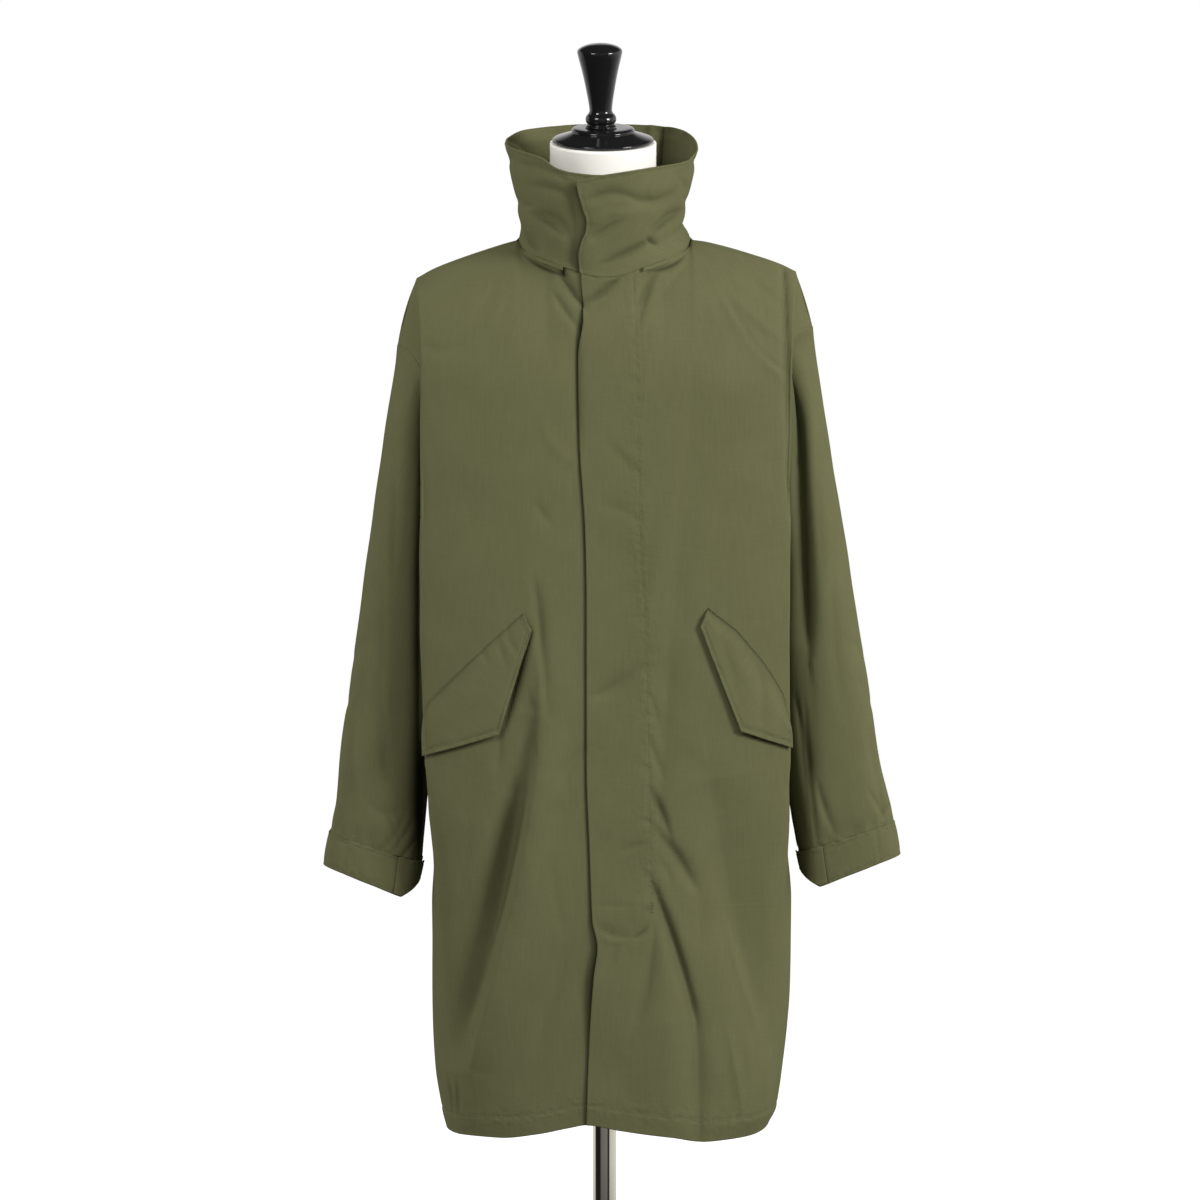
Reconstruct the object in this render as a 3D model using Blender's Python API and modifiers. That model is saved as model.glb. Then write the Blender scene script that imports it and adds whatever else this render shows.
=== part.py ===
"""Olive field coat with a funnel collar, worn on a limbless dress form with a turned cap and a pole.

Frame: the floor is z = 0 under the middle of the base, +Z is up, the coat faces -Y, and +X is
the wearer's left. Each cloth piece is a wall of CLOTH, its outer face worked out from sections.
"""

import math

import bpy
import numpy as np

# ---------------------------------------------------------------- driving sizes (metres)
CLOTH = 0.002  # wall of every cloth piece
SEAM = 0.0003  # clearance between sewn pieces
RIDGE = 0.0005  # the same at the shoulder and side seams, where two walls meet at an angle
LAP = 0.0036  # how far the upper front and collar stand above the lower ones
CHEST = 1.250  # height where the fronts begin to roll over to the shoulders
CROWN = 1.450  # level given to the neck and shoulder seams
UNDERARM = 1.130
HEM = 0.4175
NECK_SHARE = 0.475  # share of the front's width that ends on the neck seam
TILT = math.radians(14)  # forward lean of the neck and of all that stands on it

RIGHT, LEFT = -1, 1  # the wearer's sides, as signs of x
FRONT, BACK = -1, 1  # signs of y

# Body sections by height. fold: x of the front fold edge on the wearer's right and left.
# front, corner: depth at the centre and at the fold. side: x of the side seam. bow, dip: where the
# cloth turns between fold and seam. back, blade, blade_x: depths and width behind.
BODY_COLUMNS = "z fold_r fold_l front corner side_r side_l bow dip back blade blade_x".split()
BODY = (
    (0.418, 0.160, 0.166, 0.140, 0.098, 0.1810, 0.1880, 0.001, 0.055, 0.128, 0.085, 0.148),
    (0.436, 0.164, 0.174, 0.140, 0.100, 0.1860, 0.1975, 0.001, 0.056, 0.129, 0.086, 0.152),
    (0.489, 0.172, 0.182, 0.139, 0.102, 0.1950, 0.2050, 0.001, 0.058, 0.130, 0.088, 0.158),
    (0.558, 0.178, 0.189, 0.138, 0.102, 0.1973, 0.2120, 0.001, 0.060, 0.130, 0.088, 0.162),
    (0.616, 0.182, 0.194, 0.137, 0.101, 0.1977, 0.2145, 0.001, 0.061, 0.129, 0.088, 0.164),
    (0.674, 0.187, 0.200, 0.136, 0.100, 0.1973, 0.2148, 0.001, 0.064, 0.128, 0.087, 0.165),
    (0.732, 0.193, 0.206, 0.135, 0.099, 0.1925, 0.2080, 0.003, 0.068, 0.127, 0.086, 0.165),
    (0.790, 0.202, 0.211, 0.134, 0.101, 0.1850, 0.1960, 0.008, 0.078, 0.126, 0.085, 0.165),
    (0.850, 0.2036, 0.210, 0.133, 0.102, 0.1790, 0.1850, 0.012, 0.086, 0.125, 0.084, 0.166),
    (0.911, 0.2058, 0.2087, 0.132, 0.103, 0.1755, 0.1800, 0.014, 0.090, 0.124, 0.083, 0.167),
    (1.000, 0.2090, 0.2086, 0.131, 0.104, 0.1730, 0.1760, 0.015, 0.092, 0.122, 0.082, 0.170),
    (1.130, 0.2086, 0.2095, 0.130, 0.104, 0.1720, 0.1750, 0.015, 0.092, 0.121, 0.082, 0.176),
    (1.250, 0.2080, 0.2115, 0.128, 0.101, 0.1720, 0.1750, 0.018, 0.088, 0.120, 0.086, 0.190),
)

# Armhole seam from the underarm to the shoulder, by level: x, depth and height, and where the cloth
# between fold and seam turns.
ARM_COLUMNS = "level x deep z turn_x turn_y lift".split()
ARMHOLE = (
    (1.130, 0.1720, 0.000, 1.1300, 0.187, 0.092, 0.000),
    (1.165, 0.1790, 0.036, 1.1470, 0.189, 0.090, 0.000),
    (1.210, 0.1880, 0.059, 1.1880, 0.192, 0.088, 0.000),
    (1.270, 0.1970, 0.067, 1.2400, 0.196, 0.082, 0.000),
    (1.330, 0.2080, 0.062, 1.2830, 0.204, 0.073, 0.002),
    (1.390, 0.2230, 0.042, 1.3040, 0.217, 0.055, 0.006),
    (1.441, 0.2367, 0.008, 1.3126, 0.2285, 0.0105, 0.0118),
    (1.450, 0.2375, 0.000, 1.3130, 0.229, 0.000, 0.012),
)
ARMHOLE_LEFT_LOW = 0.003  # the wearer's left seam is this much wider under the arm,
ARMHOLE_LEFT_X, ARMHOLE_LEFT_Z = 0.0010, 0.021  # tops out wider and higher,
ARMHOLE_LEFT_BOW = 0.016  # and runs higher in between

# Shoulder seam from the neck to its tip, on the wearer's right and left.
SHOULDER_COLUMNS = "share x_r z_r x_l z_l".split()
SHOULDER = (
    (0.475, 0.0985, 1.4335, 0.0985, 1.4335),
    (0.550, 0.1150, 1.4290, 0.1140, 1.4315),
    (0.640, 0.1340, 1.4230, 0.1340, 1.4270),
    (0.780, 0.1650, 1.4125, 0.1670, 1.4175),
    (0.920, 0.1965, 1.4000, 0.2010, 1.4060),
    (1.000, 0.2150, 1.3895, 0.2185, 1.3975),
)
NECK_HALF, NECK_FRONT, NECK_BACK = 0.0985, 0.107, 0.088
NECK_POWER = 2.2
NECK_STANDS = 0.085  # depth from which the cloth runs straight up into the neck seam
NECK_RISE, ROLL = 0.10, 0.21  # reach of that rise, and of the roll over the shoulder
CHEST_LEAVE = 1.45  # how steeply the cloth leaves the chest, as a multiple of its rise
FRONT_FLAT, BACK_FLAT = 3.2, 2.6  # how flat the front and the back are between centre and fold
BACK_FULLER, BACK_SHALLOWER = 0.004, 0.92  # the back's turn into the side seam, against the front's
NECK_HEIGHT = ((-0.107, 1.387), (-0.100, 1.3965), (-0.075, 1.4095), (0.0, 1.4335), (0.088, 1.457))

# Edge of the wearer's left front, where it laps over the right one: height and x.
FLY_EDGE = (
    (0.42, -0.0200), (0.53, -0.0165), (0.600, -0.0120), (0.635, -0.0078), (0.665, -0.0135),
    (0.74, -0.0165), (0.84, -0.0199), (1.02, -0.0199), (1.10, -0.0215), (1.21, -0.0283),
    (1.30, -0.0299), (1.36, -0.0240), (1.45, -0.0270),
)
UNDER_EDGE = 0.036  # x where the wearer's right front ends under the fly
FLY_WIDTH, FLY_MIDDLE = 0.070, 0.015

# Height of the hem round the front, by x.
HEM_HEIGHT = (
    (-0.182, 0.4150), (-0.150, 0.4180), (-0.120, 0.4180), (-0.074, 0.4241), (-0.042, 0.4308),
    (-0.019, 0.4347), (0.015, 0.4290), (0.045, 0.4245), (0.076, 0.4204), (0.113, 0.4140),
    (0.140, 0.4150), (0.191, 0.4190),
)
HEM_FADES = 0.60  # height where the hem's wave is gone
HEM_BEHIND = 0.25  # share of the wave that runs on behind the side seam

# Sleeve sections by share of length, on the wearer's right and left: outer and inner side
# (x, z), and depth in front of and behind x = 0.
SLEEVE_COLUMNS = "s out_x out_z in_x in_z front back".split()
SLEEVE_RIGHT = (
    (0.00, 0.2375, 1.313, 0.172, 1.130, 0.068, 0.068),
    (0.12, 0.2495, 1.235, 0.185, 1.098, 0.080, 0.076),
    (0.28, 0.2640, 1.135, 0.189, 1.045, 0.078, 0.078),
    (0.44, 0.2773, 1.043, 0.191, 0.985, 0.074, 0.075),
    (0.62, 0.2916, 0.928, 0.196, 0.892, 0.070, 0.069),
    (0.78, 0.3043, 0.836, 0.203, 0.815, 0.068, 0.060),
    (0.90, 0.3090, 0.784, 0.208, 0.756, 0.067, 0.052),
    (1.00, 0.3160, 0.756, 0.210, 0.723, 0.064, 0.046),
)
SLEEVE_LEFT = (
    (0.00, 0.2385, 1.334, 0.175, 1.130, 0.068, 0.068),
    (0.12, 0.2500, 1.250, 0.187, 1.098, 0.080, 0.076),
    (0.28, 0.2690, 1.135, 0.192, 1.045, 0.078, 0.078),
    (0.44, 0.2842, 1.036, 0.194, 0.985, 0.074, 0.075),
    (0.62, 0.3035, 0.920, 0.200, 0.892, 0.070, 0.069),
    (0.78, 0.3167, 0.836, 0.208, 0.820, 0.068, 0.060),
    (0.90, 0.3280, 0.788, 0.217, 0.768, 0.067, 0.052),
    (1.00, 0.3320, 0.768, 0.2225, 0.7345, 0.064, 0.046),
)
SLEEVE_ROUND = 0.92  # below 1 a section is squarer than an ellipse
SLEEVE_SETTLES = 0.16  # share of the sleeve over which it leaves the armhole seam's own shape
CUFF_DEPTH = 0.037
CUFF_FLARE = 0.006  # outward lean of the cuff over its depth
CUFF_STANDS = 0.0008
TAB_FROM, TAB_TO = 0.175, -0.040  # shares of the way round the cuff
TAB_STANDS, TAB_OUT = 0.0029, 0.0035  # the tab lies this far out, and its free end further
TAB_CUT = 0.38  # share of its width cut off the free end's lower corner
TAB_LIFTS, TAB_TAPERS = 0.55, 0.78  # shares of its length where it leaves the cuff and begins to taper
TAB_INSET = 0.0012  # from the cuff's edges

# Collar by share of its height: half width, depth in front and behind.
COLLAR_COLUMNS = "h half front back".split()
COLLAR = (
    (0.00, 0.0985, 0.107, 0.088),
    (0.17, 0.0920, 0.108, 0.084),
    (0.30, 0.0955, 0.109, 0.082),
    (0.45, 0.0978, 0.111, 0.081),
    (0.65, 0.1028, 0.114, 0.080),
    (0.82, 0.1065, 0.117, 0.081),
    (1.00, 0.1080, 0.118, 0.081),
)
COLLAR_SHIFT, COLLAR_SHIFTED = -0.0038, 0.2  # x of the collar's middle, from this share of its height up
# Height of the collar's top edge by the way round, in degrees from the centre front through the
# wearer's right, the back and the wearer's left.
COLLAR_TOP = (
    (-25, 1.500), (0, 1.500), (14, 1.5025), (26, 1.508), (37, 1.521), (55, 1.530), (80, 1.540),
    (100, 1.549), (130, 1.563), (180, 1.571), (225, 1.566), (262, 1.546), (285, 1.528),
    (305, 1.5170), (335, 1.508), (360, 1.500), (375, 1.494), (385, 1.494),
)
COLLAR_START, COLLAR_END = -19.0, 374.5
COLLAR_UNDER, COLLAR_OVER = (-12, 60), (300, 372)  # where it comes out from under, and goes over, the lap
COLLAR_GAP = 0.0007  # above the neck seam

# Pocket flaps on the fronts, by share of the way along: x and z of the sewn and the free edge.
FLAP_COLUMNS = "share top_x top_z low_x low_z".split()
FLAP_RIGHT = (
    (0.00, 0.0915, 1.0100, 0.0826, 0.9906),
    (0.30, 0.1250, 0.9800, 0.0985, 0.9375),
    (0.56, 0.1500, 0.9560, 0.1180, 0.8737),
    (0.80, 0.1800, 0.9265, 0.1630, 0.8598),
    (1.00, 0.2030, 0.8980, 0.2045, 0.8480),
)
FLAP_LEFT = (
    (0.00, 0.1165, 1.0152, 0.1070, 0.9945),
    (0.30, 0.1486, 0.9905, 0.1285, 0.9380),
    (0.56, 0.1800, 0.9535, 0.1520, 0.8770),
    (0.80, 0.2010, 0.9200, 0.1810, 0.8670),
    (1.00, 0.2085, 0.8880, 0.2095, 0.8575),
)
FLAP_GAP, FLAP_LIFT = 0.0006, 0.001  # under the sewn edge, and how much more below it

# Hood strips at the neck seam: name, wearer's side, x of both ends, how far out they stand.
HOOD_STRIPS = (
    ("hood_loop_right", RIGHT, 0.048, 0.080, 0.0026),
    ("hood_loop_left", LEFT, 0.044, 0.072, 0.0017),
)
STRIP_BELOW, STRIP_WIDTH, STRIP_THICK = 0.004, 0.007, 0.0015  # below the neck seam, and its own sizes
STRIP_RISES = 0.0015

# Form sections by height: half width, depth in front and behind, middle's y, share of the neck's lean.
FORM = (
    (0.740, 0.160, 0.104, 0.100, 0.000, 0.0),
    (0.800, 0.165, 0.108, 0.106, 0.000, 0.0),
    (0.870, 0.160, 0.106, 0.104, 0.000, 0.0),
    (0.960, 0.142, 0.098, 0.092, 0.000, 0.0),
    (1.040, 0.142, 0.098, 0.090, 0.000, 0.0),
    (1.130, 0.156, 0.108, 0.096, 0.000, 0.0),
    (1.220, 0.166, 0.110, 0.102, 0.000, 0.0),
    (1.290, 0.178, 0.098, 0.100, 0.000, 0.0),
    (1.340, 0.186, 0.080, 0.086, 0.000, 0.0),
    (1.368, 0.191, 0.062, 0.070, 0.000, 0.0),
    (1.384, 0.188, 0.052, 0.060, 0.000, 0.0),
    (1.394, 0.176, 0.046, 0.052, 0.000, 0.0),
    (1.404, 0.154, 0.042, 0.048, 0.000, 0.0),
    (1.414, 0.128, 0.041, 0.046, -0.002, 0.0),
    (1.423, 0.1015, 0.046, 0.048, -0.006, 0.0),
    (1.433, 0.082, 0.053, 0.052, -0.010, 0.2),
    (1.448, 0.068, 0.058, 0.057, -0.016, 0.6),
    (1.470, 0.0620, 0.0600, 0.0595, -0.0220, 0.9),
    (1.500, 0.0605, 0.0605, 0.0605, -0.0295, 1.0),
    (1.5418, 0.0605, 0.0605, 0.0605, -0.0399, 1.0),
)
FORM_SQUARE, FORM_ROUND_FROM = 0.88, 1.40  # below 1 a section is squarer than an ellipse
NECK_X = -0.0018
NECK_TOP = (NECK_X, FORM[-1][4], FORM[-1][0])  # middle of the neck's top face

# Turned profiles: radius and height above the neck's top face.
CAP_PROFILE = (
    (0.0000, 0.0176), (0.0300, 0.0176), (0.0345, 0.0168), (0.0361, 0.0146), (0.0352, 0.0126),
    (0.0400, 0.0106), (0.0500, 0.0074), (0.0562, 0.0054), (0.0580, 0.0036), (0.0572, 0.0016),
    (0.0550, 0.0004), (0.0000, 0.0004),
)
HANDLE_PROFILE = (
    (0.0000, 0.1149), (0.0120, 0.1142), (0.0205, 0.1120), (0.0250, 0.1090), (0.0258, 0.1062),
    (0.0243, 0.0970), (0.0207, 0.0830), (0.0178, 0.0690), (0.0161, 0.0596), (0.0144, 0.0503),
    (0.0130, 0.0400), (0.0128, 0.0366), (0.0140, 0.0338), (0.0168, 0.0310), (0.0178, 0.0275),
    (0.0170, 0.0240), (0.0150, 0.0218), (0.0165, 0.0202), (0.0190, 0.0184), (0.0000, 0.0184),
)
HANDLE_X, HANDLE_LEAN = -0.0038, math.radians(-1.0)  # the handle sits a little off the cap's axis
BASE_RADIUS, BASE_THICK = 0.190, 0.010
POLE_RADIUS = 0.0136
SOCKET_RADIUS, SOCKET_HEIGHT = 0.030, 0.045

# How finely each piece is divided.
FRONT_STATIONS = (0.0, 0.10, 0.20, 0.36, 0.43, 0.475, 0.62, 0.80, 0.94, 1.0, 1.12, 1.35, 1.68, 1.97, 2.0)
BACK_STATIONS = (0.0, 0.18, 0.34, 0.43, 0.475, 0.64, 0.82, 1.0, 1.3, 1.65, 1.97, 2.0)
BODY_LEVELS = (
    HEM, 0.436, 0.475, 0.530, 0.590, 0.650, 0.710, 0.770, 0.830, 0.890, 0.970, 1.050, 1.130,
    1.170, 1.210, 1.250, 1.295, 1.330, 1.360, 1.390, 1.420, 1.447, CROWN,
)
SLEEVE_AROUND, CUFF_AROUND, FORM_AROUND = 24, 28, 36
SLEEVE_STEPS = (0.0020, 0.006, 0.03, 0.07, 0.13, 0.22, 0.34, 0.46, 0.58, 0.70, 0.80, 0.88, 0.94, 1.0)

# Largest soft folds of the fronts: x and z of both ends, how far in (or out, below 0), half width.
FOLD_END = 0.25  # share of its length over which a fold runs out
FOLD_FADES = (0.02, 0.08)  # the folds are gone at the first depth and whole at the second
FOLD_COLUMNS = "x0 z0 x1 z1 depth half".split()
FOLDS = (
    (-0.072, 1.000, -0.062, 0.880, 0.0040, 0.020),
    (-0.084, 0.850, -0.118, 0.680, -0.0040, 0.028),
    (-0.150, 0.620, -0.180, 0.440, 0.0045, 0.026),
    (-0.060, 0.720, -0.050, 0.460, 0.0035, 0.030),
    (0.058, 0.690, 0.115, 0.560, 0.0045, 0.024),
    (0.155, 0.660, 0.165, 0.450, 0.0045, 0.022),
    (0.115, 1.050, 0.160, 1.250, 0.0030, 0.030),
    (0.080, 0.760, 0.060, 0.460, -0.0040, 0.032),
)


# ---------------------------------------------------------------- tables and curves
def columns(names, rows):
    """The table's columns by name."""
    return dict(zip(names, np.array(rows, float).T))


def smooth(keys, values, at):
    """Values at points between the keys, on a curve that never swings past a row."""
    keys = np.asarray(keys, float)
    values = np.asarray(values, float)
    at = np.clip(np.asarray(at, float), keys[0], keys[-1])
    step = np.diff(keys)
    slope = np.diff(values) / step
    tangent = np.zeros(len(keys))
    inner = slope[:-1] * slope[1:] > 0
    tangent[1:-1][inner] = 2 * slope[:-1][inner] * slope[1:][inner] / (slope[:-1] + slope[1:])[inner]
    tangent[0], tangent[-1] = slope[0], slope[-1]
    i = np.clip(np.searchsorted(keys, at, side="right") - 1, 0, len(step) - 1)
    w = (at - keys[i]) / step[i]
    start = (1 + 2 * w) * (1 - w) ** 2 * values[i] + w * (1 - w) ** 2 * step[i] * tangent[i]
    return start + w**2 * (3 - 2 * w) * values[i + 1] + w**2 * (w - 1) * step[i] * tangent[i + 1]


def pairs(rows, at):
    keys, values = zip(*rows)
    return smooth(keys, values, at)


def ease(low, high, at):
    w = np.clip((at - low) / (high - low), 0.0, 1.0)
    return w * w * (3 - 2 * w)


def hermite(w, start, leave, end, arrive):
    first = (1 + 2 * w) * (1 - w) ** 2 * start + w * (1 - w) ** 2 * leave
    return first + w**2 * (3 - 2 * w) * end + w**2 * (w - 1) * arrive


def power(value, exponent):
    return np.sign(value) * np.abs(value) ** exponent


# ---------------------------------------------------------------- the coat's surfaces
def neck_seam(angle, half=NECK_HALF, front=NECK_FRONT, back=NECK_BACK):
    """x and y of a ring round the neck; angle in degrees from the centre front by the wearer's right."""
    turn = np.radians(angle)
    x = -half * power(np.sin(turn), 2 / NECK_POWER)
    depth = np.where(np.cos(turn) > 0, front, back)
    return x, -depth * power(np.cos(turn), 2 / NECK_POWER)


def crown_line(share, side, facing):
    """x, y, z of the neck seam and shoulder seam, and how far the cloth stands up there, 0 to 1."""
    share = np.abs(share)
    seam = columns(SHOULDER_COLUMNS, SHOULDER)
    hand = "_r" if side == RIGHT else "_l"
    x = np.minimum(share / NECK_SHARE, 1.0)
    y = facing * (NECK_FRONT if facing == FRONT else NECK_BACK) * (1 - x**NECK_POWER) ** (1 / NECK_POWER)
    past = share > NECK_SHARE
    z = np.where(past, smooth(seam["share"], seam["z" + hand], share), pairs(NECK_HEIGHT, y))
    x = np.where(past, smooth(seam["share"], seam["x" + hand], share), x * NECK_HALF)
    return x, y + facing * RIDGE / 2, z, np.minimum(np.abs(y) / NECK_STANDS, 1.0)


def body(share, level, side, facing):
    """Outer face of the body. share: 0 at the centre, 1 at the fold or shoulder blade, 2 at the side or
    armhole seam; below 0 it runs past the centre. level: height, and above CHEST the way to the CROWN."""
    share, level = np.broadcast_arrays(np.asarray(share, float), np.asarray(level, float))
    rows = columns(BODY_COLUMNS, BODY)
    arm = columns(ARM_COLUMNS, ARMHOLE)

    def row(name):
        return smooth(rows["z"], rows[name], np.minimum(level, CHEST))

    def on_arm(name):
        return smooth(arm["level"], arm[name], level)

    hand = "_r" if side == RIGHT else "_l"
    left = 1.0 if side == LEFT else 0.0
    seam_x = row("side" + hand)
    if facing == FRONT:
        wide, middle, corner, flat = row("fold" + hand), row("front"), row("corner"), FRONT_FLAT
        fuller, shallower = 0.0, 1.0
    else:
        wide = row("blade_x") + seam_x - row("side_r")
        middle, corner, flat = row("back"), row("blade"), BACK_FLAT
        fuller, shallower = BACK_FULLER, BACK_SHALLOWER

    # From the centre to the fold, up to the chest and over it to the neck and shoulder seams.
    main = np.minimum(share, 1.0)
    depth = middle + (corner - middle) * np.abs(main) ** flat
    over = np.clip((level - CHEST) / (CROWN - CHEST), 0.0, 1.0)
    top_x, top_y, top_z, stands = crown_line(main, side, facing)
    x = main * wide
    x = x + (np.sign(main) * top_x - x) * ease(0.0, 1.0, over)
    y = facing * hermite(over, depth, 0.0, facing * top_y, -ROLL * (1 - stands))
    leave = CHEST_LEAVE * (top_z - CHEST)
    z = np.where(over > 0, hermite(over, CHEST, leave, top_z, NECK_RISE * stands), level)

    # Between the fold and the side or armhole seam: one turn, set by the point that draws it out.
    past = np.clip(share - 1.0, 0.0, 1.0)
    upper = np.clip((level - UNDERARM) / (CROWN - UNDERARM), 0, 1)
    wider = left * (ARMHOLE_LEFT_LOW + (ARMHOLE_LEFT_X - ARMHOLE_LEFT_LOW) * upper)
    higher = left * (ARMHOLE_LEFT_Z * ease(0.1, 0.8, upper) + ARMHOLE_LEFT_BOW * np.sin(math.pi * upper) ** 2)
    high = level > UNDERARM
    end_x = np.where(high, on_arm("x") + wider, seam_x)
    end_y = np.maximum(np.where(high, on_arm("deep"), 0.0), RIDGE / 2)
    end_z = np.where(high, on_arm("z") + higher, level)
    turn_x = np.where(high, on_arm("turn_x") + left * ARMHOLE_LEFT_LOW, seam_x + row("bow")) + fuller
    turn_y = np.where(high, on_arm("turn_y"), row("dip")) * shallower
    turn_z = np.where(high, (z + end_z) / 2 + on_arm("lift"), level)
    a, b, c = (1 - past) ** 2, 2 * past * (1 - past), past**2
    x = side * np.where(past > 0, a * x + b * turn_x + c * end_x, x)
    y = np.where(past > 0, a * y + facing * (b * turn_y + c * end_y), y)
    z = np.where(past > 0, a * z + b * turn_z + c * end_z, z)

    lift = (pairs(HEM_HEIGHT, x) - HEM) * (1 - ease(HEM, HEM_FADES, level))
    z = z + (lift if facing == FRONT else lift * HEM_BEHIND * (past > 0))
    return np.stack([x, y, z], axis=-1)


def sink(points, rows):
    """The points moved in or out by the soft folds in the table, each a trough along a line."""
    fold = columns(FOLD_COLUMNS, rows)
    x, z = points[..., 0], points[..., 2]
    moved = np.zeros_like(x)
    for i in range(len(rows)):
        dx, dz = fold["x1"][i] - fold["x0"][i], fold["z1"][i] - fold["z0"][i]
        length = math.hypot(dx, dz)
        along = ((x - fold["x0"][i]) * dx + (z - fold["z0"][i]) * dz) / length**2
        off = ((x - fold["x0"][i]) * dz - (z - fold["z0"][i]) * dx) / length
        fade = ease(-FOLD_END, FOLD_END, along) * (1 - ease(1 - FOLD_END, 1 + FOLD_END, along))
        moved += fold["depth"][i] * fade * np.exp(-((off / fold["half"][i]) ** 2))
    points = points.copy()
    points[..., 1] += moved * ease(*FOLD_FADES, -points[..., 1])
    return points


def front(share, level, side):
    """A front's outer face, with its folds and with the fly lapped: left over right."""
    points = body(share, level, side, FRONT)
    points = sink(points, FOLDS)
    near_fly = 1 - ease(FLY_WIDTH * 0.5, FLY_WIDTH * 1.5, np.abs(points[..., 0] - FLY_MIDDLE))
    points[..., 1] += near_fly * LAP * (0.5 if side == RIGHT else -0.5)
    return points


def front_grid(side):
    """Shares of the front from its free edge to the side seam, for each level."""
    levels = np.array(BODY_LEVELS)
    rows = columns(BODY_COLUMNS, BODY)
    wide = smooth(rows["z"], rows["fold_r" if side == RIGHT else "fold_l"], np.minimum(levels, CHEST))
    edge = -UNDER_EDGE / wide if side == RIGHT else pairs(FLY_EDGE, levels) / wide
    shares = np.array(FRONT_STATIONS)
    grid = np.tile(shares, (len(levels), 1))
    grid[:, 0] = 0.0
    opening = np.stack([edge, edge / 2], axis=1)
    return np.concatenate([opening, grid], axis=1), levels[:, None]


def between(at, keys, points):
    """Points on the straight stretches between the given ones, so that both sides of a seam share them."""
    return np.stack([np.interp(at, keys, points[:, i]) for i in range(3)], axis=-1)


def armhole_ring(turn, side):
    """Armhole seam; turn 0 under the arm, 0.25 in front, 0.5 at the shoulder, 0.75 behind."""
    turn = np.asarray(turn, float) % 1.0
    half = np.where(turn <= 0.5, turn, 1 - turn) * 2
    level = UNDERARM + half * (CROWN - UNDERARM)
    levels = np.array([at for at in BODY_LEVELS if at >= UNDERARM])
    ahead = between(level, levels, body(2.0, levels, side, FRONT))
    behind = between(level, levels, body(2.0, levels, side, BACK))
    return np.where((turn <= 0.5)[..., None], ahead, behind)


def neck_ring(angle):
    """Neck seam by the way round, in degrees as for the collar."""
    share = np.array([at for at in FRONT_STATIONS if at <= NECK_SHARE])
    share_back = np.array([at for at in BACK_STATIONS if at < NECK_SHARE])
    ahead = np.degrees(np.arcsin((share / NECK_SHARE) ** (NECK_POWER / 2)))
    behind = 180 - np.degrees(np.arcsin((share_back / NECK_SHARE) ** (NECK_POWER / 2)))
    x, y, z = crown_line(share, RIGHT, FRONT)[:3]
    bx, by, bz = crown_line(share_back, RIGHT, BACK)[:3]
    keys = np.concatenate([ahead, behind[::-1]])
    points = np.stack([np.concatenate([-x, -bx[::-1]]), np.concatenate([y, by[::-1]]),
                       np.concatenate([z, bz[::-1]])], axis=-1)
    angle = np.asarray(angle, float) % 360
    mirrored = angle > 180
    found = between(np.where(mirrored, 360 - angle, angle), keys, points)
    found[..., 0] *= np.where(mirrored, -1, 1)
    return found


def sleeve(turn, s, side):
    """Outer face of a sleeve: turn round it from the underarm seam by the front, s along it."""
    turn, s = np.broadcast_arrays(np.asarray(turn, float), np.asarray(s, float))
    table = columns(SLEEVE_COLUMNS, SLEEVE_RIGHT if side == RIGHT else SLEEVE_LEFT)
    across = (1 - power(np.cos(turn * 2 * math.pi), SLEEVE_ROUND)) / 2
    deep = power(np.sin(turn * 2 * math.pi), SLEEVE_ROUND)

    def ring(at):
        row = {name: smooth(table["s"], table[name], at) for name in SLEEVE_COLUMNS}
        x = row["in_x"] + (row["out_x"] - row["in_x"]) * across
        z = row["in_z"] + (row["out_z"] - row["in_z"]) * across
        return np.stack([x * side, -np.where(deep > 0, row["front"], row["back"]) * deep, z], axis=-1)

    onto_seam = armhole_ring(turn, side) - ring(np.zeros_like(s))
    return ring(s) + onto_seam * (1 - ease(0.0, SLEEVE_SETTLES, s))[..., None]


def cuff(turn, down, side, out=0.0):
    """Outer face of a cuff: turn round it as on the sleeve, down it in metres, moved out by out."""
    turn, down = np.broadcast_arrays(np.asarray(turn, float), np.asarray(down, float))
    end = sleeve(turn, np.ones_like(turn), side)
    middle = np.mean(sleeve(np.arange(16) / 16, np.ones(16), side), axis=0)
    outward = (end - middle) * (1, 1, 0)
    outward /= np.linalg.norm(outward, axis=-1, keepdims=True)
    points = end + outward * np.broadcast_to(CUFF_STANDS + out, turn.shape)[..., None]
    points[..., 0] += side * CUFF_FLARE * down / CUFF_DEPTH
    points[..., 2] -= down
    return points


def collar(angle, h):
    """Outer face of the collar: the way round in degrees as in COLLAR_TOP, h up it."""
    angle, h = np.broadcast_arrays(np.asarray(angle, float), np.asarray(h, float))
    table = columns(COLLAR_COLUMNS, COLLAR)
    half, ahead, behind = (smooth(table["h"], table[n], h) for n in ("half", "front", "back"))
    x, y = neck_seam(angle, half, ahead, behind)
    base_x, base_y = neck_seam(angle)
    foot = neck_ring(angle)
    settle = (1 - np.minimum(h, 1)) ** 3
    lap = LAP / 2 * (ease(*COLLAR_OVER, angle) - 1 + ease(*COLLAR_UNDER, angle))
    turn = np.radians(angle)
    shift = COLLAR_SHIFT * ease(0.0, COLLAR_SHIFTED, h)
    x = x - lap * np.sin(turn) + shift + (foot[..., 0] - base_x) * settle
    y = y - lap * np.cos(turn) + (foot[..., 1] - base_y) * settle
    z = foot[..., 2] + (pairs(COLLAR_TOP, angle) - foot[..., 2]) * h + COLLAR_GAP * (1 - h)
    return np.stack([x, y, z], axis=-1)


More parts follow.
